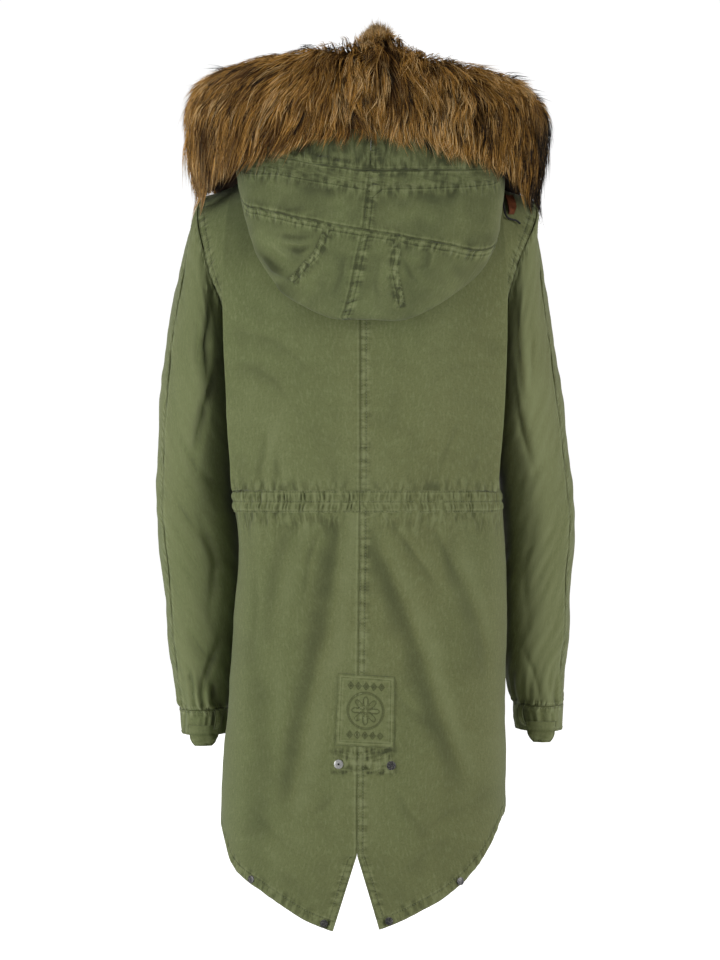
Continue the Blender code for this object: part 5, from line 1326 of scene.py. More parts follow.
HOOD_ANGLES = spread((0, 2.4, 5), (2.4, 56, 66), (56, 100, 26), (100, 176, 20))
HOOD_PIECES = [("hood_back_", spread((0, 2.1, 20), (2.1, 2.9, 18), (2.9, 3.9, 62), (3.9, 4.0, 7))),
               ("hood_crown_", spread((4.0, 4.06, 5), (4.06, 4.36, 18), (4.36, 4.42, 5))),
               ("hood_band_", spread((4.42, 4.50, 5), (4.50, 5.0, 14)))]
HOOD_STITCHES = (0.0016, 0.0066)
CASING_SEAM = 0.0220  # the row below the band's seam that closes the hood's own cord channel
# The darts and the soft creases of the pouch, in x and z.
HOOD_DARTS = {"left": [(0.0425, -0.078), (0.0500, -0.1000), (0.0585, -0.1165), (0.0700, -0.1270),
                       (0.0880, -0.1465)],
              "right": [(-0.0385, -0.0950), (-0.0400, -0.1248), (-0.0375, -0.1390), (-0.0460, -0.1790)]}
HOOD_CREASES = [
    (0.0042, 0.0065, [(0.1200, -0.1170), (0.1040, -0.1330), (0.0880, -0.1440)]),
    (-0.0022, 0.0070, [(0.1120, -0.1060), (0.0980, -0.1180), (0.0860, -0.1270)]),
    (0.0026, 0.0050, [(0.0990, -0.0975), (0.0750, -0.1020), (0.0590, -0.1015)]),
    (-0.0020, 0.0050, [(0.0960, -0.1050), (0.0760, -0.1090), (0.0620, -0.1080)]),
    (0.0024, 0.0045, [(0.0860, -0.1130), (0.0720, -0.1170), (0.0640, -0.1140)]),
    (0.0016, 0.0060, [(0.1040, -0.1480), (0.0920, -0.1600), (0.0780, -0.1700)]),
    (0.0018, 0.0045, [(-0.0520, -0.1120), (-0.0640, -0.1080), (-0.0740, -0.1180), (-0.0720, -0.1320),
                      (-0.0580, -0.1360)]),
    (-0.0016, 0.0055, [(-0.0520, -0.1240), (-0.0620, -0.1260), (-0.0660, -0.1200)]),
    (0.0014, 0.0060, [(-0.0720, -0.0980), (-0.0940, -0.1160), (-0.1040, -0.1320)]),
    (0.0014, 0.0045, [(-0.0430, -0.1220), (-0.0540, -0.1440), (-0.0640, -0.1520)]),
    (0.0012, 0.008, [(-0.020, -0.118), (-0.012, -0.150), (-0.018, -0.176)]),
    (0.0012, 0.008, [(0.022, -0.116), (0.026, -0.144), (0.036, -0.166)]),
    (0.0030, 0.0050, [(0.0760, 0.0010), (0.0540, -0.0080), (0.0330, -0.0140), (0.0080, -0.0160)]),
    (-0.0022, 0.0055, [(0.0820, -0.0060), (0.0600, -0.0160), (0.0400, -0.0220)]),
    (0.0020, 0.0045, [(0.0500, 0.0060), (0.0300, -0.0020), (0.0080, -0.0060)]),
    (0.0016, 0.0040, [(-0.0220, -0.0330), (-0.0420, -0.0290), (-0.0620, -0.0330)]),
    (-0.0014, 0.0045, [(-0.0200, -0.0400), (-0.0440, -0.0370), (-0.0760, -0.0400)]),
    (0.0016, 0.006, [(0.020, -0.020), (-0.020, -0.026), (-0.060, -0.024), (-0.100, -0.030)]),
    (0.0018, 0.008, [(0.100, -0.030), (0.060, -0.048), (0.020, -0.052)]),
    (0.0014, 0.008, [(-0.120, -0.046), (-0.080, -0.058), (-0.040, -0.052)]),
    (0.0014, 0.009, [(0.120, -0.060), (0.090, -0.072), (0.055, -0.068)]),
]
for side in ("left", "right"):
    sign = 1 if side == "left" else -1
    for name, rows in HOOD_PIECES:
        down_w, turned = np.meshgrid(rows, HOOD_ANGLES, indexing="ij")
        piece = panel(hood_place(side, turned, down_w), side, seams="start end top bottom")
        x, z = piece["points"][..., 0], piece["points"][..., 2]
        across, down = piece["u"], piece["v"]
        hanging = smooth(down_w, 2.7, 3.1)
        relief = no_relief(piece)
        relief[HEIGHT] = ((1.35 * creases(x, z, HOOD_CREASES) + 0.0009 * drape(x, z, 0.06, 31)
                           + 0.0004 * drape(x, z, 0.024, 32)) * hanging)
        # painted shade in the creases with their ridges lighter, partly as wear; painted shade over the whole
        # hood, for the ruff's shadow; and painted light on slopes turned to the wearer's left
        relief[WEAR_AND_SHADE] = (0.10 * drape(x, z, 0.035, 33) + 165 * relief[HEIGHT] - 0.28
                        + 0.9 * side_light_slope(relief[HEIGHT], piece))
        stitched = side == "right"
        relief = joined(relief, felled(across, HOOD_STITCHES if stitched else (0.0012,), "down", down, 0.2,
                                       1.1 if stitched else 0.4))
        upper, lower = down, down[-1:] - down
        if name == "hood_back_":
            dart_gap, dart_share = to_path(x, z, HOOD_DARTS[side])
            banded = dart_gap * -sign  # each dart is pressed towards the centre
            strong = hanging * smooth(dart_share, 0.0, 0.03) * (1 - smooth(dart_share, 0.97, 1.0))
            relief = joined(relief, felled(np.abs(banded), HOOD_STITCHES, "across", dart_share * 0.09, 2.0,
                                           1.3) * strong * (banded >= 0))
            relief[PUCKER_DOWN] += 1.0 * bell(np.maximum(banded - 0.004, 0), 0.006) * (banded >= 0) * strong
            relief[HEIGHT] -= 0.0009 * bell(banded, 0.0012) * strong * (banded < 0)
            relief[WEAR_AND_SHADE] -= 0.6 * bell(banded, 0.0012) * strong * (banded < 0)
            relief = joined(relief, felled(lower, HOOD_STITCHES, "across", across, 1.2, 1.1) * (down_w > 3.5))
        elif name == "hood_crown_":
            relief = joined(relief, felled(upper, (0.0012,), "across", across, 1.2, 0.6))
            relief = joined(relief, felled(lower, (0.0012,), "across", across, 0.6, 1.0))
            casing = lower - CASING_SEAM
            relief[HEIGHT] -= 0.0005 * bell(casing, 0.0010)
            relief[SECOND_ROW] += near_line(casing)
            relief[PUCKER_ACROSS] += 1.1 * bell(casing, 0.009)
            relief[PUCKER_DOWN] += 0.6 * bell(casing + 0.008, 0.010)
        else:
            relief = joined(relief, felled(upper, (0.0020,), "across", across, 0.9, 1.1))
            folded = uneven(across, 0.019, 1 + sign) * smooth(down, 0.002, 0.010)
            relief[HEIGHT] += 0.0012 * folded
            # the folds are painted lighter on their crests and darker in their hollows, as painted light and
            # shade
            relief[WEAR_AND_SHADE] += 0.25 * folded
            relief[PUCKER_ACROSS] += 0.8 * smooth(down, 0.002, 0.010)
        piece = raise_panel(piece, relief)
        if name != "hood_band_":
            keep_skin(piece)
        made = cloth_mesh(name + "piece_" + side, piece, relief, shell_cloth, seen_inside=True)
        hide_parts(name + side)
        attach(made, "parka")
        if side == "right":
            for gap in HOOD_STITCHES:
                sew(piece, "start", gap, 0.55 if name == "hood_back_" else 0.0, 1.0)
        if name == "hood_back_":
            for gap in HOOD_STITCHES:
                sew(piece, "bottom", gap)
                sew_inside(piece, HOOD_DARTS[side], -sign * gap)
        if name == "hood_crown_":
            sew(piece, "bottom", CASING_SEAM, 0.0, 0.7)
        if name == "hood_band_":
            sew(piece, "top", 0.0020)

# ---- The ruff's underfur
# The fur is sewn to the hood's edge as a long strip. Short dense dark wool fills it under the long hair.
# columns: angle, out, in, up, down, lip
RUFF_ROWS = {
    "left": [(0, 0.046, 0.048, 0.062, 0.054, 0.024), (14, 0.047, 0.049, 0.055, 0.056, 0.025),
             (28, 0.048, 0.050, 0.054, 0.062, 0.026), (52, 0.058, 0.050, 0.049, 0.078, 0.032),
             (76, 0.064, 0.046, 0.048, 0.092, 0.034), (102, 0.062, 0.040, 0.050, 0.086, 0.026),
             (128, 0.052, 0.036, 0.054, 0.056, 0.018), (152, 0.042, 0.032, 0.050, 0.034, 0.014),
             (173, 0.030, 0.022, 0.040, 0.026, 0.010)],
    "right": [(0, 0.046, 0.048, 0.062, 0.054, 0.024), (8, 0.046, 0.048, 0.070, 0.055, 0.024),
              (16, 0.047, 0.049, 0.064, 0.057, 0.025), (28, 0.048, 0.050, 0.053, 0.062, 0.026),
              (52, 0.058, 0.050, 0.042, 0.078, 0.032), (76, 0.064, 0.046, 0.041, 0.092, 0.034),
              (102, 0.062, 0.040, 0.043, 0.086, 0.026), (128, 0.052, 0.036, 0.052, 0.056, 0.018),
              (152, 0.042, 0.032, 0.050, 0.034, 0.014), (173, 0.030, 0.022, 0.040, 0.026, 0.010)],
}
RUFF_END = 173
SECTION_POINTS = 14
SECTION_STEPS = 4  # finer places between two points of a section
UNDERFUR_DEPTH = 0.80

# Stations one degree apart from the wearer's right end (-173) to the left end.
stations = np.arange(-RUFF_END, RUFF_END + 1, dtype=float)
sections = np.zeros((len(stations), SECTION_POINTS, 3))
for side in ("left", "right"):
    chosen = stations >= 0 if side == "left" else stations < 0
    angle = np.abs(stations[chosen])
    here = hood_point(side, angle, 5.0)
    ahead = hood_point(side, angle + 3, 5.0) - hood_point(side, angle - 3, 5.0)
    ahead[..., 2] = 0
    away = xyz(-ahead[..., 1], ahead[..., 0], 0.0)
    away /= np.linalg.norm(away, axis=-1, keepdims=True)
    out, into, up, down, lip = np.moveaxis(look_up(RUFF_ROWS[side], angle), -1, 0)
    shape = [(0.0024, 0.0008), (lip * 0.55 + 0.003, -down * 0.5), (lip, -down * 0.90),
             (lip + (out - lip) * 0.35, -down),
             (out * 0.90, -down * 0.62), (out, -down * 0.1), (out * 0.93, up * 0.45), (out * 0.62, up * 0.84),
             (out * 0.12, up), (-into * 0.50, up * 0.88), (-into * 0.92, up * 0.52), (-into, up * 0.10),
             (-into * 0.70, -0.004), (-0.0024, 0.0008)]
    for k, (reach, rise) in enumerate(shape):
        place = (here + away * np.broadcast_to(reach, angle.shape)[:, None]
                 + xyz(0, 0, np.broadcast_to(rise, angle.shape)))
        if side == "right":
            place[:, 0] *= -1
        if 1 < k < 13:
            clear = 0.0085 if k < 6 else 0.0045
            place = np.array([hold_off(body_tree, p, clear) for p in place])
        sections[chosen, k] = place
centres = sections[:, 2:12].mean(axis=1)

# The section's points joined by a smooth closed curve.
curve = []
for k in range(SECTION_POINTS):
    before, a, b, after = (sections[:, (k + j) % SECTION_POINTS] for j in (-1, 0, 1, 2))
    for step in range(SECTION_STEPS):
        s = step / SECTION_STEPS
        curve.append(0.5 * (2 * a + (b - before) * s + (2 * before - 5 * a + 4 * b - after) * s**2
                            + (3 * a - before - 3 * b + after) * s**3))
curve = np.stack(curve, axis=1)


def in_ruff(angle, k, depth):
    """A place in the ruff: the station's angle, the way round its section, and 0 at its middle
    to 1 at its face."""
    at = np.clip(angle + RUFF_END, 0, len(stations) - 1.001)
    i, share = at.astype(int), (at % 1)[..., None]
    around = (k * SECTION_STEPS) % curve.shape[1]
    j, turn = around.astype(int), (around % 1)[..., None]
    n = (j + 1) % curve.shape[1]
    face = mix(mix(curve[i, j], curve[i, n], turn), mix(curve[i + 1, j], curve[i + 1, n], turn), share)
    middle = mix(centres[i], centres[i + 1], share)
    return middle + (face - middle) * depth[..., None]


PARTING = 8.6  # the way round the section where the hair parts, and its two edges
OUTER_EDGE = 3.0
INNER_EDGE = 12.2
WAY_LENGTH = 0.0235  # metres for one step of the way round the section


def degree_length(angle):
    """Metres for one degree along the ruff."""
    return mix(0.0021, 0.0027, smooth(np.abs(angle), 45, 80))


def fan_slope(angle, way):
    """How far sideways the hair lies for each metre it falls: outward and well over on the wearer's left,
    nearly straight on the right."""
    left = 0.08 * smooth(angle, 0, 8) + 0.62 * smooth(angle, 4, 38) - 0.20 * smooth(angle, 70, 115)
    right = -0.02 - 0.20 * smooth(-angle, 15, 80)
    return mix(left, right, smooth(-angle, -6, 8)) + 0.35 * smooth(angle, 10, 40) * smooth(way, 6.6, 8.4)


underfur = bpy.data.materials.new("dark_underfur")
underfur.use_nodes = True
nodes, links = underfur.node_tree.nodes, underfur.node_tree.links
shader = nodes["Principled BSDF"]
shader.inputs["Roughness"].default_value = 0.9
shader.inputs["Specular IOR Level"].default_value = 0.15
nap_map = nodes.new("ShaderNodeUVMap")
nap_map.uv_map = "nap"
combed = nodes.new("ShaderNodeMapping")
combed.inputs["Scale"].default_value = (1.0, 0.07, 1.0)
links.new(nap_map.outputs["UV"], combed.inputs["Vector"])
wool = texture("Noise", combed.outputs["Vector"], 620.0, Detail=4.0, Roughness=0.65)
tufts = texture("Noise", combed.outputs["Vector"], 110.0, Detail=2.0)
colour = blend_colour(between(wool.outputs["Fac"], 0.34, 0.70), (0.010, 0.005, 0.002), (0.135, 0.064, 0.018))
colour = blend_colour(between(tufts.outputs["Fac"], 0.60, 0.35, 0.0, 0.75), colour, (0.014, 0.007, 0.003))
links.new(colour, shader.inputs["Base Color"])
bump_from(wool.outputs["Fac"], 0.0025)

ring_angles, ring_ways = np.meshgrid(np.linspace(-RUFF_END + 1, RUFF_END - 1, 150),
                                     np.linspace(0, SECTION_POINTS, 43), indexing="ij")
ragged = 1 + 0.05 * drape(ring_angles * 0.004, ring_ways * 0.02, 0.022, 41)
low_side = (0.16 * bell(ring_ways - 2.3, 1.3) * smooth(np.abs(ring_angles), 45, 65)
            * (1 - smooth(np.abs(ring_angles), 115, 130)))
core = in_ruff(ring_angles, ring_ways, UNDERFUR_DEPTH * ragged + low_side)
bpy.ops.object.select_all(action="DESELECT")
bpy.ops.mesh.primitive_grid_add(x_subdivisions=42, y_subdivisions=149)
wool_body = bpy.context.object
wool_body.name = "ruff_underfur"
wool_body.data.vertices.foreach_set("co", core.reshape(-1))
corners = np.empty(len(wool_body.data.loops), int)
wool_body.data.loops.foreach_get("vertex_index", corners)
combing = (ring_angles * degree_length(ring_angles)
           - fan_slope(ring_angles, ring_ways) * (PARTING - ring_ways) * WAY_LENGTH)
nap = np.stack([combing, ring_ways * WAY_LENGTH], -1).reshape(-1, 2)[corners]
wool_body.data.uv_layers[0].name = "nap"
wool_body.data.uv_layers["nap"].uv.foreach_set("vector", nap.reshape(-1))
bpy.ops.object.mode_set(mode="EDIT")
bpy.ops.mesh.select_all(action="SELECT")
bpy.ops.mesh.remove_doubles(threshold=0.00002)
bpy.ops.mesh.select_all(action="DESELECT")
bpy.ops.mesh.select_non_manifold()
bpy.ops.mesh.edge_face_add()
bpy.ops.mesh.select_all(action="SELECT")
bpy.ops.mesh.normals_make_consistent(inside=False)
bpy.ops.object.mode_set(mode="OBJECT")
bpy.ops.object.shade_smooth()
wool_body.data.materials.append(underfur)
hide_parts("fur_ruff")
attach(wool_body, "parka")

# ---- The ruff's long hair
# Guard hairs of 30 to 50 mm, dark at the root, golden in the middle and some black or tan at the tip. They
# part along the top, fall over the outside and the inside, and cling in strands, and these in pointed locks.
HAIRS_IN_A_STRAND = 8
HAIR_RINGS = 3
HAIR_WIDTH = 0.00040  # radius near the root
LOCK_PITCH = 0.0145
EDGE_SLACK = (0.001, 0.017)  # how far tips may pass the ruff's edge
ROOT_COLOUR = (0.020, 0.009, 0.003)
UMBER_COLOUR = (0.100, 0.046, 0.011)
GOLD_COLOUR = (0.535, 0.276, 0.056)
TAN_COLOUR = (0.720, 0.510, 0.250)
BLACK_COLOUR = (0.008, 0.006, 0.005)

fur_hair = bpy.data.materials.new("long_fur_hair")
fur_hair.use_nodes = True
nodes, links = fur_hair.node_tree.nodes, fur_hair.node_tree.links
shader = nodes["Principled BSDF"]
shader.inputs["Roughness"].default_value = 0.66
shader.inputs["Specular IOR Level"].default_value = 0.15
along_hair = nodes.new("ShaderNodeAttribute")
along_hair.attribute_name = "along"
hair_shade = nodes.new("ShaderNodeAttribute")
hair_shade.attribute_name = "tone"
tip_kind = nodes.new("ShaderNodeAttribute")
tip_kind.attribute_name = "tip"
where = nodes.new("ShaderNodeTexCoord")
streak = texture("Noise", where.outputs["Object"], 130.0, Detail=3.0)
middle_colour = blend_colour(between(hair_shade.outputs["Fac"], 0.05, 0.70), UMBER_COLOUR, GOLD_COLOUR)
middle_colour = blend_colour(between(hair_shade.outputs["Fac"], 0.72, 1.0, 0.0, 0.8), middle_colour,
                             TAN_COLOUR)
colour = blend_colour(between(along_hair.outputs["Fac"], 0.06, 0.60), ROOT_COLOUR, middle_colour)
colour = blend_colour(between(streak.outputs["Fac"], 0.52, 0.75, 0.0, 0.30), colour, BLACK_COLOUR)
at_tip = between(along_hair.outputs["Fac"], 0.55, 1.0)
colour = blend_colour(sum_of(at_tip, between(tip_kind.outputs["Fac"], 0.1, 1.0), "MULTIPLY"), colour,
                      TAN_COLOUR)
near_tip = between(along_hair.outputs["Fac"], 0.28, 0.68)
colour = blend_colour(sum_of(near_tip, between(tip_kind.outputs["Fac"], -0.15, -0.8), "MULTIPLY"), colour,
                      BLACK_COLOUR)
links.new(colour, shader.inputs["Base Color"])

dice = np.random.default_rng(77)
lock_tones = dice.normal(0, 0.20, 997)
# columns: name, strands, flow; flow is -1 down the outside and 1 down the inside
COATS = [("outer", 1540, -1.0), ("inner", 400, 1.0)]
TUFT_STRANDS = 110  # a tan tuft that stands up at the top, a little to the wearer's right
for side in ("left", "right"):
    sign = 1 if side == "left" else -1
    for coat, strands, flow in COATS:
        angle = sign * (RUFF_END - 4) * dice.uniform(0, 1, strands) ** (1.12 if coat == "outer" else 1.0)
        if coat == "outer":
            way = mix(OUTER_EDGE + 0.9, PARTING, dice.uniform(0, 1, strands) ** 1.15)
        else:
            way = mix(PARTING, INNER_EDGE - 0.9, dice.uniform(0, 1, strands))
        standing = dice.uniform(0, 1, strands) ** 7 * 0.013 * (np.abs(way - PARTING) < 1.1)
        tuft = np.zeros(strands, bool)
        if side == "right" and coat == "outer":
            tuft[:TUFT_STRANDS] = True
            angle[tuft] = dice.uniform(-9.5, 0.5, TUFT_STRANDS)
            way[tuft] = dice.uniform(7.6, 8.7, TUFT_STRANDS)
            standing[tuft] = (dice.uniform(0.75, 1.0,
                                           TUFT_STRANDS)
                                           * (0.016 - 0.010 * smooth(np.abs(angle[tuft] + 4.4), 3.0, 5.4)))
        length = dice.uniform(0.030, 0.052, strands)
        left_to_edge = np.abs(way - (OUTER_EDGE if flow < 0 else INNER_EDGE)) * WAY_LENGTH
        left_to_edge += 0.013 * smooth(np.abs(angle), 58, 76) * (1 - smooth(np.abs(angle), 112, 130))
        left_to_edge += 0.008 * bell(angle - 6, 10) + 0.010 * smooth(angle, 66, 88)
        length = np.where(tuft, 0.034, np.minimum(length, left_to_edge + dice.uniform(*EDGE_SLACK, strands)))
        # strands draw together into locks, whose places shift from one level to the next
        level = np.floor(way / 1.7).astype(int)
        sideways = angle * degree_length(angle)
        lock = np.round((sideways - 0.37 * level * LOCK_PITCH) / LOCK_PITCH).astype(int)
        to_lock = (lock + 0.37 * level) * LOCK_PITCH - sideways
        tone = 0.42 + lock_tones[(lock * 7 + level * 131) % 997] + dice.normal(0, 0.20, strands)
        tone += 0.09 * drape(sideways, way * WAY_LENGTH, 0.060, 51) + 0.60 * tuft
        tone += 0.03 * smooth(-angle, -6, 10) - 0.20 * smooth(angle, 20, 60) + 0.12 * bell(angle + 56, 16)
        crest = (0.055 * bell(to_lock, 0.5 * LOCK_PITCH) - 0.01
                 + 0.03 * drape(sideways, way * WAY_LENGTH, 0.045, 52))
        dark_end = smooth(-angle, 54, 82) * (1 - smooth(way, 4.8, 7.6)) + 0.6 * smooth(-angle, 74, 96)
        tip = np.where(dice.uniform(0, 1, strands) < dark_end * 0.85 + 0.12, -1.0,
                       dice.uniform(-0.2, 0.35, strands))
        tip = tip + 0.55 * smooth(angle, 40, 80) * (1 - smooth(way, 4.0, 6.5)) 
        tip = np.where(tuft, 1.0, tip)
        slope = fan_slope(angle, way) * (flow < 0) + dice.normal(0, 0.16, strands)
        slope += 0.30 * drape(sideways, way * WAY_LENGTH, 0.050, 53)
        phase = 3.0 * drape(sideways, way * WAY_LENGTH, 0.040, 54) + dice.uniform(-0.6, 0.6, strands)
        wave = dice.uniform(0.0008, 0.0026, strands)
        flared = dice.uniform(0.0, 0.055, strands)
        to_side = smooth(np.abs(angle), 50, 75)
        flared += ((dice.uniform(0, 1, strands) < 0.10
                    + 0.25 * to_side) * dice.uniform(0.02, 0.09, strands) * (1 + to_side))

        per = HAIRS_IN_A_STRAND
        total = strands * per
        each = {key: np.repeat(values, per) for key, values in (
            ("angle", angle), ("way", way), ("length", length), ("to_lock", to_lock), ("tone", tone),
            ("crest", crest),
            ("tip", tip), ("slope", slope), ("phase", phase), ("wave", wave), ("standing", standing),
            ("tuft", tuft), ("flare", flared))}
        beside = dice.normal(0, 0.0034, total)
        before = dice.normal(0, 0.0034, total)
        hair_length = each["length"] * dice.uniform(0.80, 1.06, total)
        gathered = dice.uniform(0.40, 0.85, total)
        flare = (dice.uniform(0, 1, total) < 0.07) * dice.uniform(0.03, 0.14, total) + each["flare"]
        hair_rise = 0.925 + each["crest"] + dice.normal(0, 0.020, total)
        hair_tone = np.clip(each["tone"] + dice.normal(0, 0.25, total), 0, 1)
        hair_tip = np.clip(each["tip"] + dice.normal(0, 0.2, total), -1, 1)
        shares = np.linspace(0, 1, HAIR_RINGS + 1)
        rings = []
        for s in shares:
            spread_left = 1 - gathered * s**0.8
            ripple = (each["wave"] * (np.sin(2 * np.pi * s * hair_length / 0.044 + each["phase"])
                                      - np.sin(each["phase"])))
            aside = (beside * spread_left + each["to_lock"] * 0.50 * s + each["slope"] * hair_length * s
                     + ripple)
            ang = each["angle"] + aside / degree_length(each["angle"])
            k = (each["way"] + flow * (before * spread_left
                                       + hair_length * s * 0.96) / WAY_LENGTH
                                       * np.where(each["tuft"], 0.15, 1))
            if flow < 0:
                past, k = np.maximum(OUTER_EDGE - k, 0), np.maximum(k, OUTER_EDGE)
            else:
                past, k = np.maximum(k - INNER_EDGE, 0), np.minimum(k, INNER_EDGE)
            depth = mix(0.66, hair_rise, np.minimum(1, 1.5 * s) ** 0.8) + flare * s**2
            place = in_ruff(ang, k, depth)
            out = place - centres[np.clip(ang + RUFF_END, 0, len(stations) - 1).astype(int)]
            out[:, 2] = 0
            out /= np.maximum(np.linalg.norm(out, axis=-1, keepdims=True), 1e-6)
            place = place + past[:, None] * WAY_LENGTH * (xyz(0, 0, -0.85) + out * 0.15)
            place[:, 2] += each["standing"] * s**1.6
            rings.append(place)
        line = np.stack(rings, axis=1)
        ahead = np.gradient(line, axis=1)
        ahead /= np.maximum(np.linalg.norm(ahead, axis=-1, keepdims=True), 1e-9)
        one = np.cross(ahead, np.array([0.31, 0.17, 0.93]))
        one /= np.maximum(np.linalg.norm(one, axis=-1, keepdims=True), 1e-9)
        two = np.cross(ahead, one)
        thin = np.array([0.85, 1.0, 0.75])[None, :, None]
        radius = (HAIR_WIDTH * thin * dice.uniform(0.7, 1.25, (total, 1, 1))
                  * (1.0 if coat == "outer" else 1.4))
        corner_lines = [line[:, :-1] + (one[:, :-1] * math.cos(turn) + two[:, :-1] * math.sin(turn)) * radius
                        for turn in (0, 2 * math.pi / 3, 4 * math.pi / 3)]
        count = HAIR_RINGS * 3 + 1
        points = np.concatenate([np.stack(corner_lines, axis=2).reshape(total, -1, 3), line[:, -1:]], axis=1)
        pattern = [(0, 2, 1)]
        for ring in range(HAIR_RINGS - 1):
            for k in range(3):
                a, b = ring * 3 + k, ring * 3 + (k + 1) % 3
                pattern += [(a, b, b + 3), (a, b + 3, a + 3)]
        last = (HAIR_RINGS - 1) * 3
        pattern += [(last + k, last + (k + 1) % 3, count - 1) for k in range(3)]
        faces = (np.array(pattern)[None] + (np.arange(total) * count)[:, None, None]).reshape(-1, 3)
        mesh = bpy.data.meshes.new("ruff_hair_" + coat + "_" + side)
        mesh.from_pydata(points.reshape(-1, 3).tolist(), [], faces.tolist())
        along_values = np.concatenate([np.repeat(shares[:-1], 3), [1.0]])
        for key, values in (("along", np.tile(along_values, total)), ("tone", np.repeat(hair_tone, count)),
                            ("tip", np.repeat(hair_tip, count))):
            layer = mesh.attributes.new(key, "FLOAT", "POINT")
            layer.data.foreach_set("value", values.astype(np.float32))
        mesh.polygons.foreach_set("use_smooth", np.ones(len(faces), bool))
        mesh.materials.append(fur_hair)
        made = bpy.data.objects.new("ruff_hair_" + coat + "_" + side, mesh)
        bpy.context.scene.collection.objects.link(made)
        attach(made, "parka")

# ---- The tail's patch
# A square of the same cloth sewn over the centre seam above the split, by two rows round its edge. A plain
# rosette between two rows of lozenges is stitched on it in thread of the cloth's own colour.
PATCH_CORNERS = {"top_left": (0.0317, -0.6035), "top_right": (-0.0349, -0.6082),
                 "bottom_left": (0.0352, -0.6877), "bottom_right": (-0.0337, -0.6912)}
PATCH_STITCHES = (0.0018, 0.0046)
ROSETTE_RADIUS = 0.0170
PETALS = 8
LOZENGE_ROWS = (0.0285, -0.0285)
LOZENGE_PITCH = 0.0090


def on_back(x, z, lift):
    """A place on the outer side of the back, lifted straight off it, for arrays of x and z."""
    places = []
    for at_x, at_z in zip(np.ravel(x), np.ravel(z)):
        # just past the hem it takes the depth of the cloth above
        for rise in np.arange(0.0, 0.030, 0.001):
            place = torso_tree.ray_cast(Vector((at_x, 0.4, at_z + rise)), Vector((0, -1, 0)))[0]
            if place is not None and place.y > 0:
                break
        places.append((at_x, place.y, at_z))
    return np.array(places).reshape(np.shape(x) + (3,)) + np.array((0, lift, 0))


across_share, down_share = np.meshgrid(np.linspace(0, 1, 76), np.linspace(0, 1, 96))
corner = {key: np.array(value) for key, value in PATCH_CORNERS.items()}
top = mix(corner["top_left"], corner["top_right"], across_share[..., None])
bottom = mix(corner["bottom_left"], corner["bottom_right"], across_share[..., None])
flat = mix(top, bottom, down_share[..., None])
seat = on_back(flat[..., 0], flat[..., 1], 0.0)
# the cloth below is bridged, not followed into its seam
for turn in range(12):
    seat[1:-1, 1:-1, 1] = ((seat[:-2, 1:-1, 1] + seat[2:, 1:-1, 1] + seat[1:-1, :-2, 1]
                            + seat[1:-1, 2:, 1]) / 4)
seat[..., 1] += 0.0009
piece = panel(seat, "left")
across, down = piece["u"], piece["v"]
wide, tall = across[:, -1:], down[-1:]
rim = np.minimum(np.minimum(across, wide - across), np.minimum(down, tall - down))
relief = felled(rim, PATCH_STITCHES, "down", across + down, 0.3, 0.5)
x, y = across - wide / 2, tall / 2 - down
radius, turn = np.hypot(x, y), np.arctan2(y, x)
petal = np.abs(np.cos(PETALS / 2 * turn)) ** 0.6 * ROSETTE_RADIUS
flower = (smooth(petal - radius, 0.0, 0.0012) * smooth(radius, 0.0032, 0.0042)
          * (1 - 0.7 * bell(np.sin(PETALS / 2 * turn), 0.12)))
flower = np.maximum(flower, 1 - smooth(radius, 0.0022, 0.0030))
ring = bell(radius - 0.0208, 0.0008)
motif = np.maximum(flower * (1 - 0.45 * bell(np.cos(PETALS / 2 * turn), 0.16)), ring)
for row in LOZENGE_ROWS:
    lozenge = np.abs((x + LOZENGE_PITCH / 2) % LOZENGE_PITCH - LOZENGE_PITCH / 2) + 0.75 * np.abs(y - row)
    inside = (np.abs(x) < 2.6 * LOZENGE_PITCH)
    outline = (1 - smooth(lozenge, 0.0030, 0.0036)) * smooth(lozenge, 0.0010, 0.0016)
    motif = np.maximum(motif, inside * outline)
thread_lines = 0.5 + 0.5 * np.sin((x + y) * 2 * np.pi / 0.0016)
relief[HEIGHT] += (0.0008 * motif * (0.8 + 0.2 * thread_lines)
                   + 0.0003 * uneven(across + down, 0.012, 2.0) * bell(rim, 0.008))
# painted light and shade on the stitched motif: its raised lines lighter and their edges dark, and painted
# shade along the patch's edge; the band between the two rows is paler, partly wear and partly a painted
# highlight, and the whole patch is a little paler
motif_edge_shade = np.clip(np.hypot(*np.gradient(motif)) * 2.2, 0, 1)
relief[WEAR_AND_SHADE] += (0.34 * motif - 1.0 * motif_edge_shade + 0.22 * bell(rim - 0.0032, 0.0014)
                 - 0.45 * bell(rim, 0.0010) + 0.16)
patch_piece = raise_panel(piece, relief)
made = cloth_mesh("tail_patch_square", patch_piece, relief, shell_cloth, 0.0010, seen_inside=True)
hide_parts("tail_patch")
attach(made, "parka")
for gap in PATCH_STITCHES:
    for edge in ("top", "bottom", "start", "end"):
        sew(patch_piece, edge, gap, 0.03, 0.97, 0.0027)

# ---- The press studs
# Two hold the tail up and four sit on the hem: pressed sheet caps with a domed rim round a sunk middle.
# All are dark but one of the tail's, which has worn to bright nickel.
# columns: node, x, z, radius, finish
STUDS = [("tail_snap_left", 0.0309, -0.7097, 0.0055, "bright"),
         ("tail_snap_right", -0.0303, -0.7114, 0.0055, "dark"),
         ("hem_snap_left_outer", 0.1340, -0.8485, 0.0048, "dark"),
         ("hem_snap_left_inner", 0.0480, -0.8948, 0.0048, "dark"),
         ("hem_snap_right_inner", -0.0279, -0.8920, 0.0048, "dark"),
         ("hem_snap_right_outer", -0.1115, -0.8492, 0.0048, "dark")]
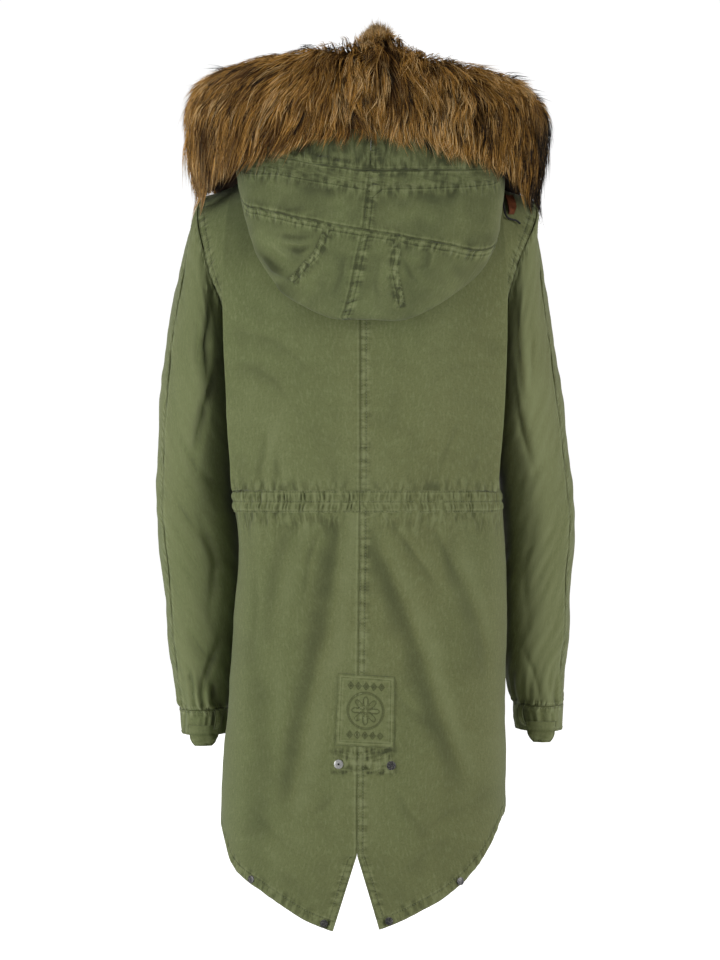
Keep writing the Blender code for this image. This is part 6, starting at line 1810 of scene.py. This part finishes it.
# columns: finish, colour, worn colour, roughness
METALS = {}
for finish, colour_here, rubbed, rough in (("bright", (0.56, 0.56, 0.55), (0.30, 0.29, 0.27), 0.28),
                                           ("dark", (0.060, 0.060, 0.062), (0.24, 0.23, 0.21), 0.36)):
    metal = bpy.data.materials.new(finish + "_metal")
    metal.use_nodes = True
    nodes, links = metal.node_tree.nodes, metal.node_tree.links
    shader = nodes["Principled BSDF"]
    shader.inputs["Metallic"].default_value = 1.0
    where = nodes.new("ShaderNodeTexCoord")
    rub = texture("Noise", where.outputs["Object"], 700.0, Detail=4.0)
    colour = blend_colour(between(rub.outputs["Fac"], 0.45, 0.75), colour_here, rubbed)
    # the bright stud's sunk middle is painted near black, as painted shade in the hollow
    if finish == "bright":
        from_middle = nodes.new("ShaderNodeVectorMath")
        from_middle.operation = "DISTANCE"
        from_middle.inputs[1].default_value = on_back(STUDS[0][1], STUDS[0][2], 0.0008)
        links.new(where.outputs["Object"], from_middle.inputs[0])
        colour = blend_colour(between(from_middle.outputs["Value"], 0.0012, 0.0016), (0.012, 0.012, 0.012),
                              colour)
    links.new(colour, shader.inputs["Base Color"])
    links.new(between(rub.outputs["Fac"], 0.3, 0.8, rough, rough + 0.2), shader.inputs["Roughness"])
    bump_from(rub.outputs["Fac"], 0.00008)
    METALS[finish] = metal
for node, x, z, radius, finish in STUDS:
    around = np.radians(np.arange(0, 360, 30))
    rim_places = on_back(x + radius * np.cos(around), z + radius * np.sin(around), 0.0)
    centre = Vector(on_back(x, z, 0.0))
    slope_x = Vector(rim_places[0] - rim_places[6])
    slope_z = Vector(rim_places[3] - rim_places[9])
    out = slope_x.cross(slope_z).normalized()
    if out.y < 0:
        out = -out
    seat = max((Vector(p) - centre).dot(out) for p in rim_places)
    centre = centre + out * (max(seat, 0.0) + 0.0002)
    bpy.ops.object.select_all(action="DESELECT")
    bpy.ops.mesh.primitive_cylinder_add(vertices=40, radius=radius * 0.97, depth=radius * 0.22)
    stud = bpy.context.object
    stud.name = node + "_cap"
    bpy.ops.object.mode_set(mode="EDIT")
    bm = bmesh.from_edit_mesh(stud.data)
    for face in bm.faces:
        face.select = face.normal.z > 0.9
    bm.select_flush_mode()
    bmesh.update_edit_mesh(stud.data)
    bpy.ops.mesh.inset(thickness=radius * 0.16)
    bpy.ops.transform.translate(value=(0, 0, radius * 0.14))
    bpy.ops.mesh.inset(thickness=radius * 0.20)
    bpy.ops.mesh.inset(thickness=radius * 0.14)
    bpy.ops.transform.translate(value=(0, 0, -radius * 0.18))
    bpy.ops.mesh.inset(thickness=radius * 0.24)
    bpy.ops.mesh.inset(thickness=radius * 0.05)
    bpy.ops.transform.translate(value=(0, 0, -radius * 0.10))
    bpy.ops.object.mode_set(mode="OBJECT")
    soften = stud.modifiers.new("soften", "BEVEL")
    soften.width = radius * 0.05
    soften.segments = 2
    soften.limit_method = "ANGLE"
    soften.angle_limit = math.radians(20)
    bpy.ops.object.modifier_apply(modifier="soften")
    bpy.ops.object.shade_smooth_by_angle(angle=math.radians(40))
    stud.rotation_euler = out.to_track_quat("Z", "Y").to_euler()
    stud.location = centre + out * radius * 0.12
    bpy.ops.object.transform_apply(location=True, rotation=True, scale=True)
    stud.data.materials.append(METALS[finish])
    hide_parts(node)
    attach(stud, "parka")

# ---- The front zip
# A metal zip sewn behind the front edges: woven tape, two rows of teeth that mesh, a slider near the top
# and a pull tab that swings on the slider's ears.
ZIP_TOP_Z = -0.049
ZIP_BOTTOM_Z = -0.770
TOOTH_PITCH = 0.0030
TAPE_SECTION = [(0.0009, -0.0006), (0.0030, -0.0012), (0.0060, -0.0030), (0.0105, -0.0042), (0.0150, -0.0049)]

tape_cloth = bpy.data.materials.new("zip_tape_weave")
tape_cloth.use_nodes = True
nodes, links = tape_cloth.node_tree.nodes, tape_cloth.node_tree.links
shader = nodes["Principled BSDF"]
shader.inputs["Roughness"].default_value = 0.9
where = nodes.new("ShaderNodeTexCoord")
cross_weave = texture("Wave", where.outputs["Object"], 300.0, Distortion=0.3)
cross_weave.bands_direction = "Z"
links.new(blend_colour(cross_weave.outputs["Fac"], (0.030, 0.034, 0.015), (0.075, 0.084, 0.042)),
          shader.inputs["Base Color"])
bump_from(cross_weave.outputs["Fac"], 0.0002)


def front_line(z):
    """The place of the closed zip's middle at a height, and the ways out and up along it."""
    def depth(at):
        at = min(at, -0.060)
        return torso_tree.ray_cast(Vector((0.0085, -0.4, at)), Vector((0, 1, 0)))[0].y + CLOTH / 2 + 0.0006
    y = sum(depth(z + step) for step in (-0.006, -0.002, 0.002, 0.006)) / 4
    slope = (depth(z + 0.008) - depth(z - 0.008)) / 0.016
    return Vector((0, y, z)), Vector((0, -1, slope)).normalized(), Vector((0, slope, 1)).normalized()


for side in ("left", "right"):
    sign = 1 if side == "left" else -1
    heights = np.linspace(ZIP_TOP_Z, ZIP_BOTTOM_Z, 150)
    grid = []
    for z in heights:
        place, out, up = front_line(float(z))
        grid.append([place + Vector((sign * x, 0, 0)) + out * lift for x, lift in TAPE_SECTION])
    grid = np.array([[tuple(p) for p in row] for row in grid])
    outward = 1 if sign < 0 else -1
    piece = {"points": grid, "normals": grid_normals(grid, outward), "outward": outward, "side": side,
             "u": run_lengths(grid, 1), "v": run_lengths(grid, 0)}
    tape = cloth_mesh("zip_tape_strip_" + side, piece, no_relief(piece), tape_cloth, 0.0007)
    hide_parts("zip_tape_" + side)
    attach(tape, "parka")

    # one tooth is shaped and repeated down the tape
    bpy.ops.object.select_all(action="DESELECT")
    bpy.ops.mesh.primitive_cube_add(size=1)
    tooth = bpy.context.object
    bpy.ops.transform.resize(value=(0.0034, 0.0022, 0.0017))
    bpy.ops.object.transform_apply(location=False, rotation=False, scale=True)
    bpy.ops.object.mode_set(mode="EDIT")
    bpy.ops.mesh.select_all(action="SELECT")
    bpy.ops.mesh.bevel(offset=0.00035, segments=1)
    bpy.ops.object.mode_set(mode="OBJECT")
    shape = np.array([v.co for v in tooth.data.vertices])
    shape_faces = [list(p.vertices) for p in tooth.data.polygons]
    bpy.data.objects.remove(tooth)
    points, faces = [], []
    offset = 0.0 if side == "left" else TOOTH_PITCH / 2
    for z in np.arange(ZIP_TOP_Z - 0.004 - offset, ZIP_BOTTOM_Z + 0.004, -TOOTH_PITCH):
        place, out, up = front_line(float(z))
        start = len(points)
        for x, y, h in shape:
            points.append(place + Vector((sign * 0.0011 + x, 0, 0)) - out * y + out * 0.0002 + up * h)
        faces += [[start + k for k in face] for face in shape_faces]
    mesh = bpy.data.meshes.new("zip_teeth_" + side)
    mesh.from_pydata([tuple(p) for p in points], [], faces)
    mesh.materials.append(METALS["dark"])
    teeth = bpy.data.objects.new("zip_teeth_" + side, mesh)
    bpy.context.scene.collection.objects.link(teeth)
    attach(teeth, "parka")
for node, finish in (("zip_slider", "dark"), ("zip_pull_tab", "bright")):
    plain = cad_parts[node]
    plain.data.materials.clear()
    plain.data.materials.append(METALS[finish])

# ---- The hood's drawcord end
# At the wearer's right a small leather tab is sewn under the fur, and the black cord comes out beside it.
TAB_PATH = [(-0.1725, -0.0370), (-0.1750, -0.0450), (-0.1760, -0.0530), (-0.1745, -0.0610)]
TAB_HALF = 0.0050
CORD_RADIUS = 0.0012
CORD_PATH = [(-0.1640, -0.0370), (-0.1648, -0.0450), (-0.1655, -0.0530), (-0.1668, -0.0610),
             (-0.1700, -0.0660),
             (-0.1750, -0.0680), (-0.1800, -0.0690), (-0.1850, -0.0730)]

tab_leather = bpy.data.materials.new("red_brown_leather")
tab_leather.use_nodes = True
nodes, links = tab_leather.node_tree.nodes, tab_leather.node_tree.links
shader = nodes["Principled BSDF"]
shader.inputs["Roughness"].default_value = 0.5
where = nodes.new("ShaderNodeTexCoord")
pores = texture("Voronoi", where.outputs["Object"], 1600.0)
shade = texture("Noise", where.outputs["Object"], 160.0)
links.new(blend_colour(between(shade.outputs["Fac"], 0.3, 0.7), (0.105, 0.028, 0.010),
                       (0.200, 0.062, 0.022)), shader.inputs["Base Color"])
bump_from(pores.outputs["Distance"], 0.0002)

steps = np.linspace(0, 1, 18)
knots = np.linspace(0, 1, len(TAB_PATH))
middle_x = np.interp(steps, knots, [p[0] for p in TAB_PATH])
middle_z = np.interp(steps, knots, [p[1] for p in TAB_PATH])
half = TAB_HALF * np.interp(steps, knots, (1.0, 1.05, 1.0, 0.7))
ways = np.linspace(1, -1, 9)
tab_x = middle_x[:, None] + half[:, None] * ways[None]
grid = on_back(tab_x, np.repeat(middle_z[:, None], 9, 1), 0.0050 + 0.0006)
piece = panel(grid, "left")
relief = no_relief(piece)
relief[HEIGHT] = 0.0004 * (1 - np.abs(ways)[None] ** 4)
piece = raise_panel(piece, relief)
made = cloth_mesh("hood_tab_leather", piece, relief, tab_leather, 0.0020, seen_inside=True)
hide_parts("hood_tab_right")
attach(made, "parka")
sew(piece, "start", 0.0014, 0.0, 1.0, 0.0022)
sew(piece, "end", 0.0014, 0.0, 1.0, 0.0022)

cord_braid = bpy.data.materials.new("black_braid")
cord_braid.use_nodes = True
nodes, links = cord_braid.node_tree.nodes, cord_braid.node_tree.links
shader = nodes["Principled BSDF"]
shader.inputs["Roughness"].default_value = 0.8
where = nodes.new("ShaderNodeTexCoord")
strand = texture("Wave", where.outputs["Object"], 300.0, Distortion=1.5)
strand.bands_direction = "DIAGONAL"
links.new(blend_colour(strand.outputs["Fac"], (0.006, 0.006, 0.006), (0.030, 0.030, 0.030)),
          shader.inputs["Base Color"])
bump_from(strand.outputs["Fac"], 0.0003)

route = on_back(np.array([p[0] for p in CORD_PATH]), np.array([p[1] for p in CORD_PATH]), CORD_RADIUS
                + 0.0038)
knots = np.linspace(0, 1, len(route))
route = look_up([(k, *p) for k, p in zip(knots, route)], np.linspace(0, 1, 30))
cord_data = bpy.data.curves.new("hood_cord", "CURVE")
cord_data.dimensions = "3D"
cord_data.bevel_depth = CORD_RADIUS
cord_data.bevel_resolution = 3
cord_data.use_fill_caps = True
spline = cord_data.splines.new("POLY")
spline.points.add(len(route) - 1)
for point, place in zip(spline.points, route):
    point.co = (*place, 1)
cord_data.materials.append(cord_braid)
hood_cord = bpy.data.objects.new("hood_cord", cord_data)
bpy.context.scene.collection.objects.link(hood_cord)
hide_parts("hood_cord_right")
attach(hood_cord, "parka")

# ---- The sewing
# Every seam is sewn in thread of the cloth's own colour, in stitches that sink a little into it.
THREAD_RADIUS = 0.00034
STITCH_SHARE = 0.78  # how much of a stitch's length shows
thread = bpy.data.materials.new("olive_thread")
thread.use_nodes = True
nodes, links = thread.node_tree.nodes, thread.node_tree.links
shader = nodes["Principled BSDF"]
shader.inputs["Roughness"].default_value = 0.7
where = nodes.new("ShaderNodeTexCoord")
twist = texture("Noise", where.outputs["Object"], 900.0)
links.new(blend_colour(between(twist.outputs["Fac"], 0.3, 0.7), THREAD_COLOUR, CLOTH_PALE),
          shader.inputs["Base Color"])
bump_from(twist.outputs["Fac"], 0.0002)

points, faces = [], []
for line, out, pitch in sewn_lines:
    along = np.concatenate([[0], np.cumsum(np.linalg.norm(np.diff(line, axis=0), axis=1))])
    places = np.arange(pitch / 2, along[-1] - pitch / 2, pitch)
    if len(places) == 0:
        continue
    reach = pitch * STITCH_SHARE / 2
    middle, start, end, face_out = (np.stack([np.interp(places + step, along, source[:, k])
                                              for k in range(3)], -1)
                                    for step, source in ((0, line), (-reach, line), (reach, line), (0, out)))
    ahead = end - start
    across = np.cross(ahead, face_out)
    across /= np.maximum(np.linalg.norm(across, axis=-1, keepdims=True), 1e-9)
    face_out /= np.maximum(np.linalg.norm(face_out, axis=-1, keepdims=True), 1e-9)
    lift = face_out * THREAD_RADIUS * 0.35
    low = -face_out * THREAD_RADIUS * 0.4
    rings = [start + low]
    for share in (0.22, 0.78):
        centre = mix(start, end, share) + lift
        rings += [centre + across * THREAD_RADIUS, centre + face_out * THREAD_RADIUS, centre
                  - across * THREAD_RADIUS]
    rings.append(end + low)
    block = np.stack(rings, axis=1)
    base = sum(len(p) for p in points) + np.arange(len(places)) * 8
    pattern = np.array([(0, 2, 1), (0, 3, 2), (0, 1, 3), (1, 2, 5), (1, 5, 4), (2, 3, 6), (2, 6, 5),
                        (3, 1, 4), (3, 4, 6),
                        (7, 4, 5), (7, 5, 6), (7, 6, 4)])
    points.append(block.reshape(-1, 3))
    faces.append((pattern[None] + base[:, None, None]).reshape(-1, 3))
mesh = bpy.data.meshes.new("sewing")
mesh.from_pydata(np.concatenate(points).tolist(), [], np.concatenate(faces).tolist())
mesh.polygons.foreach_set("use_smooth", np.ones(len(mesh.polygons), bool))
mesh.materials.append(thread)
sewing = bpy.data.objects.new("sewing", mesh)
bpy.context.scene.collection.objects.link(sewing)
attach(sewing, "parka")
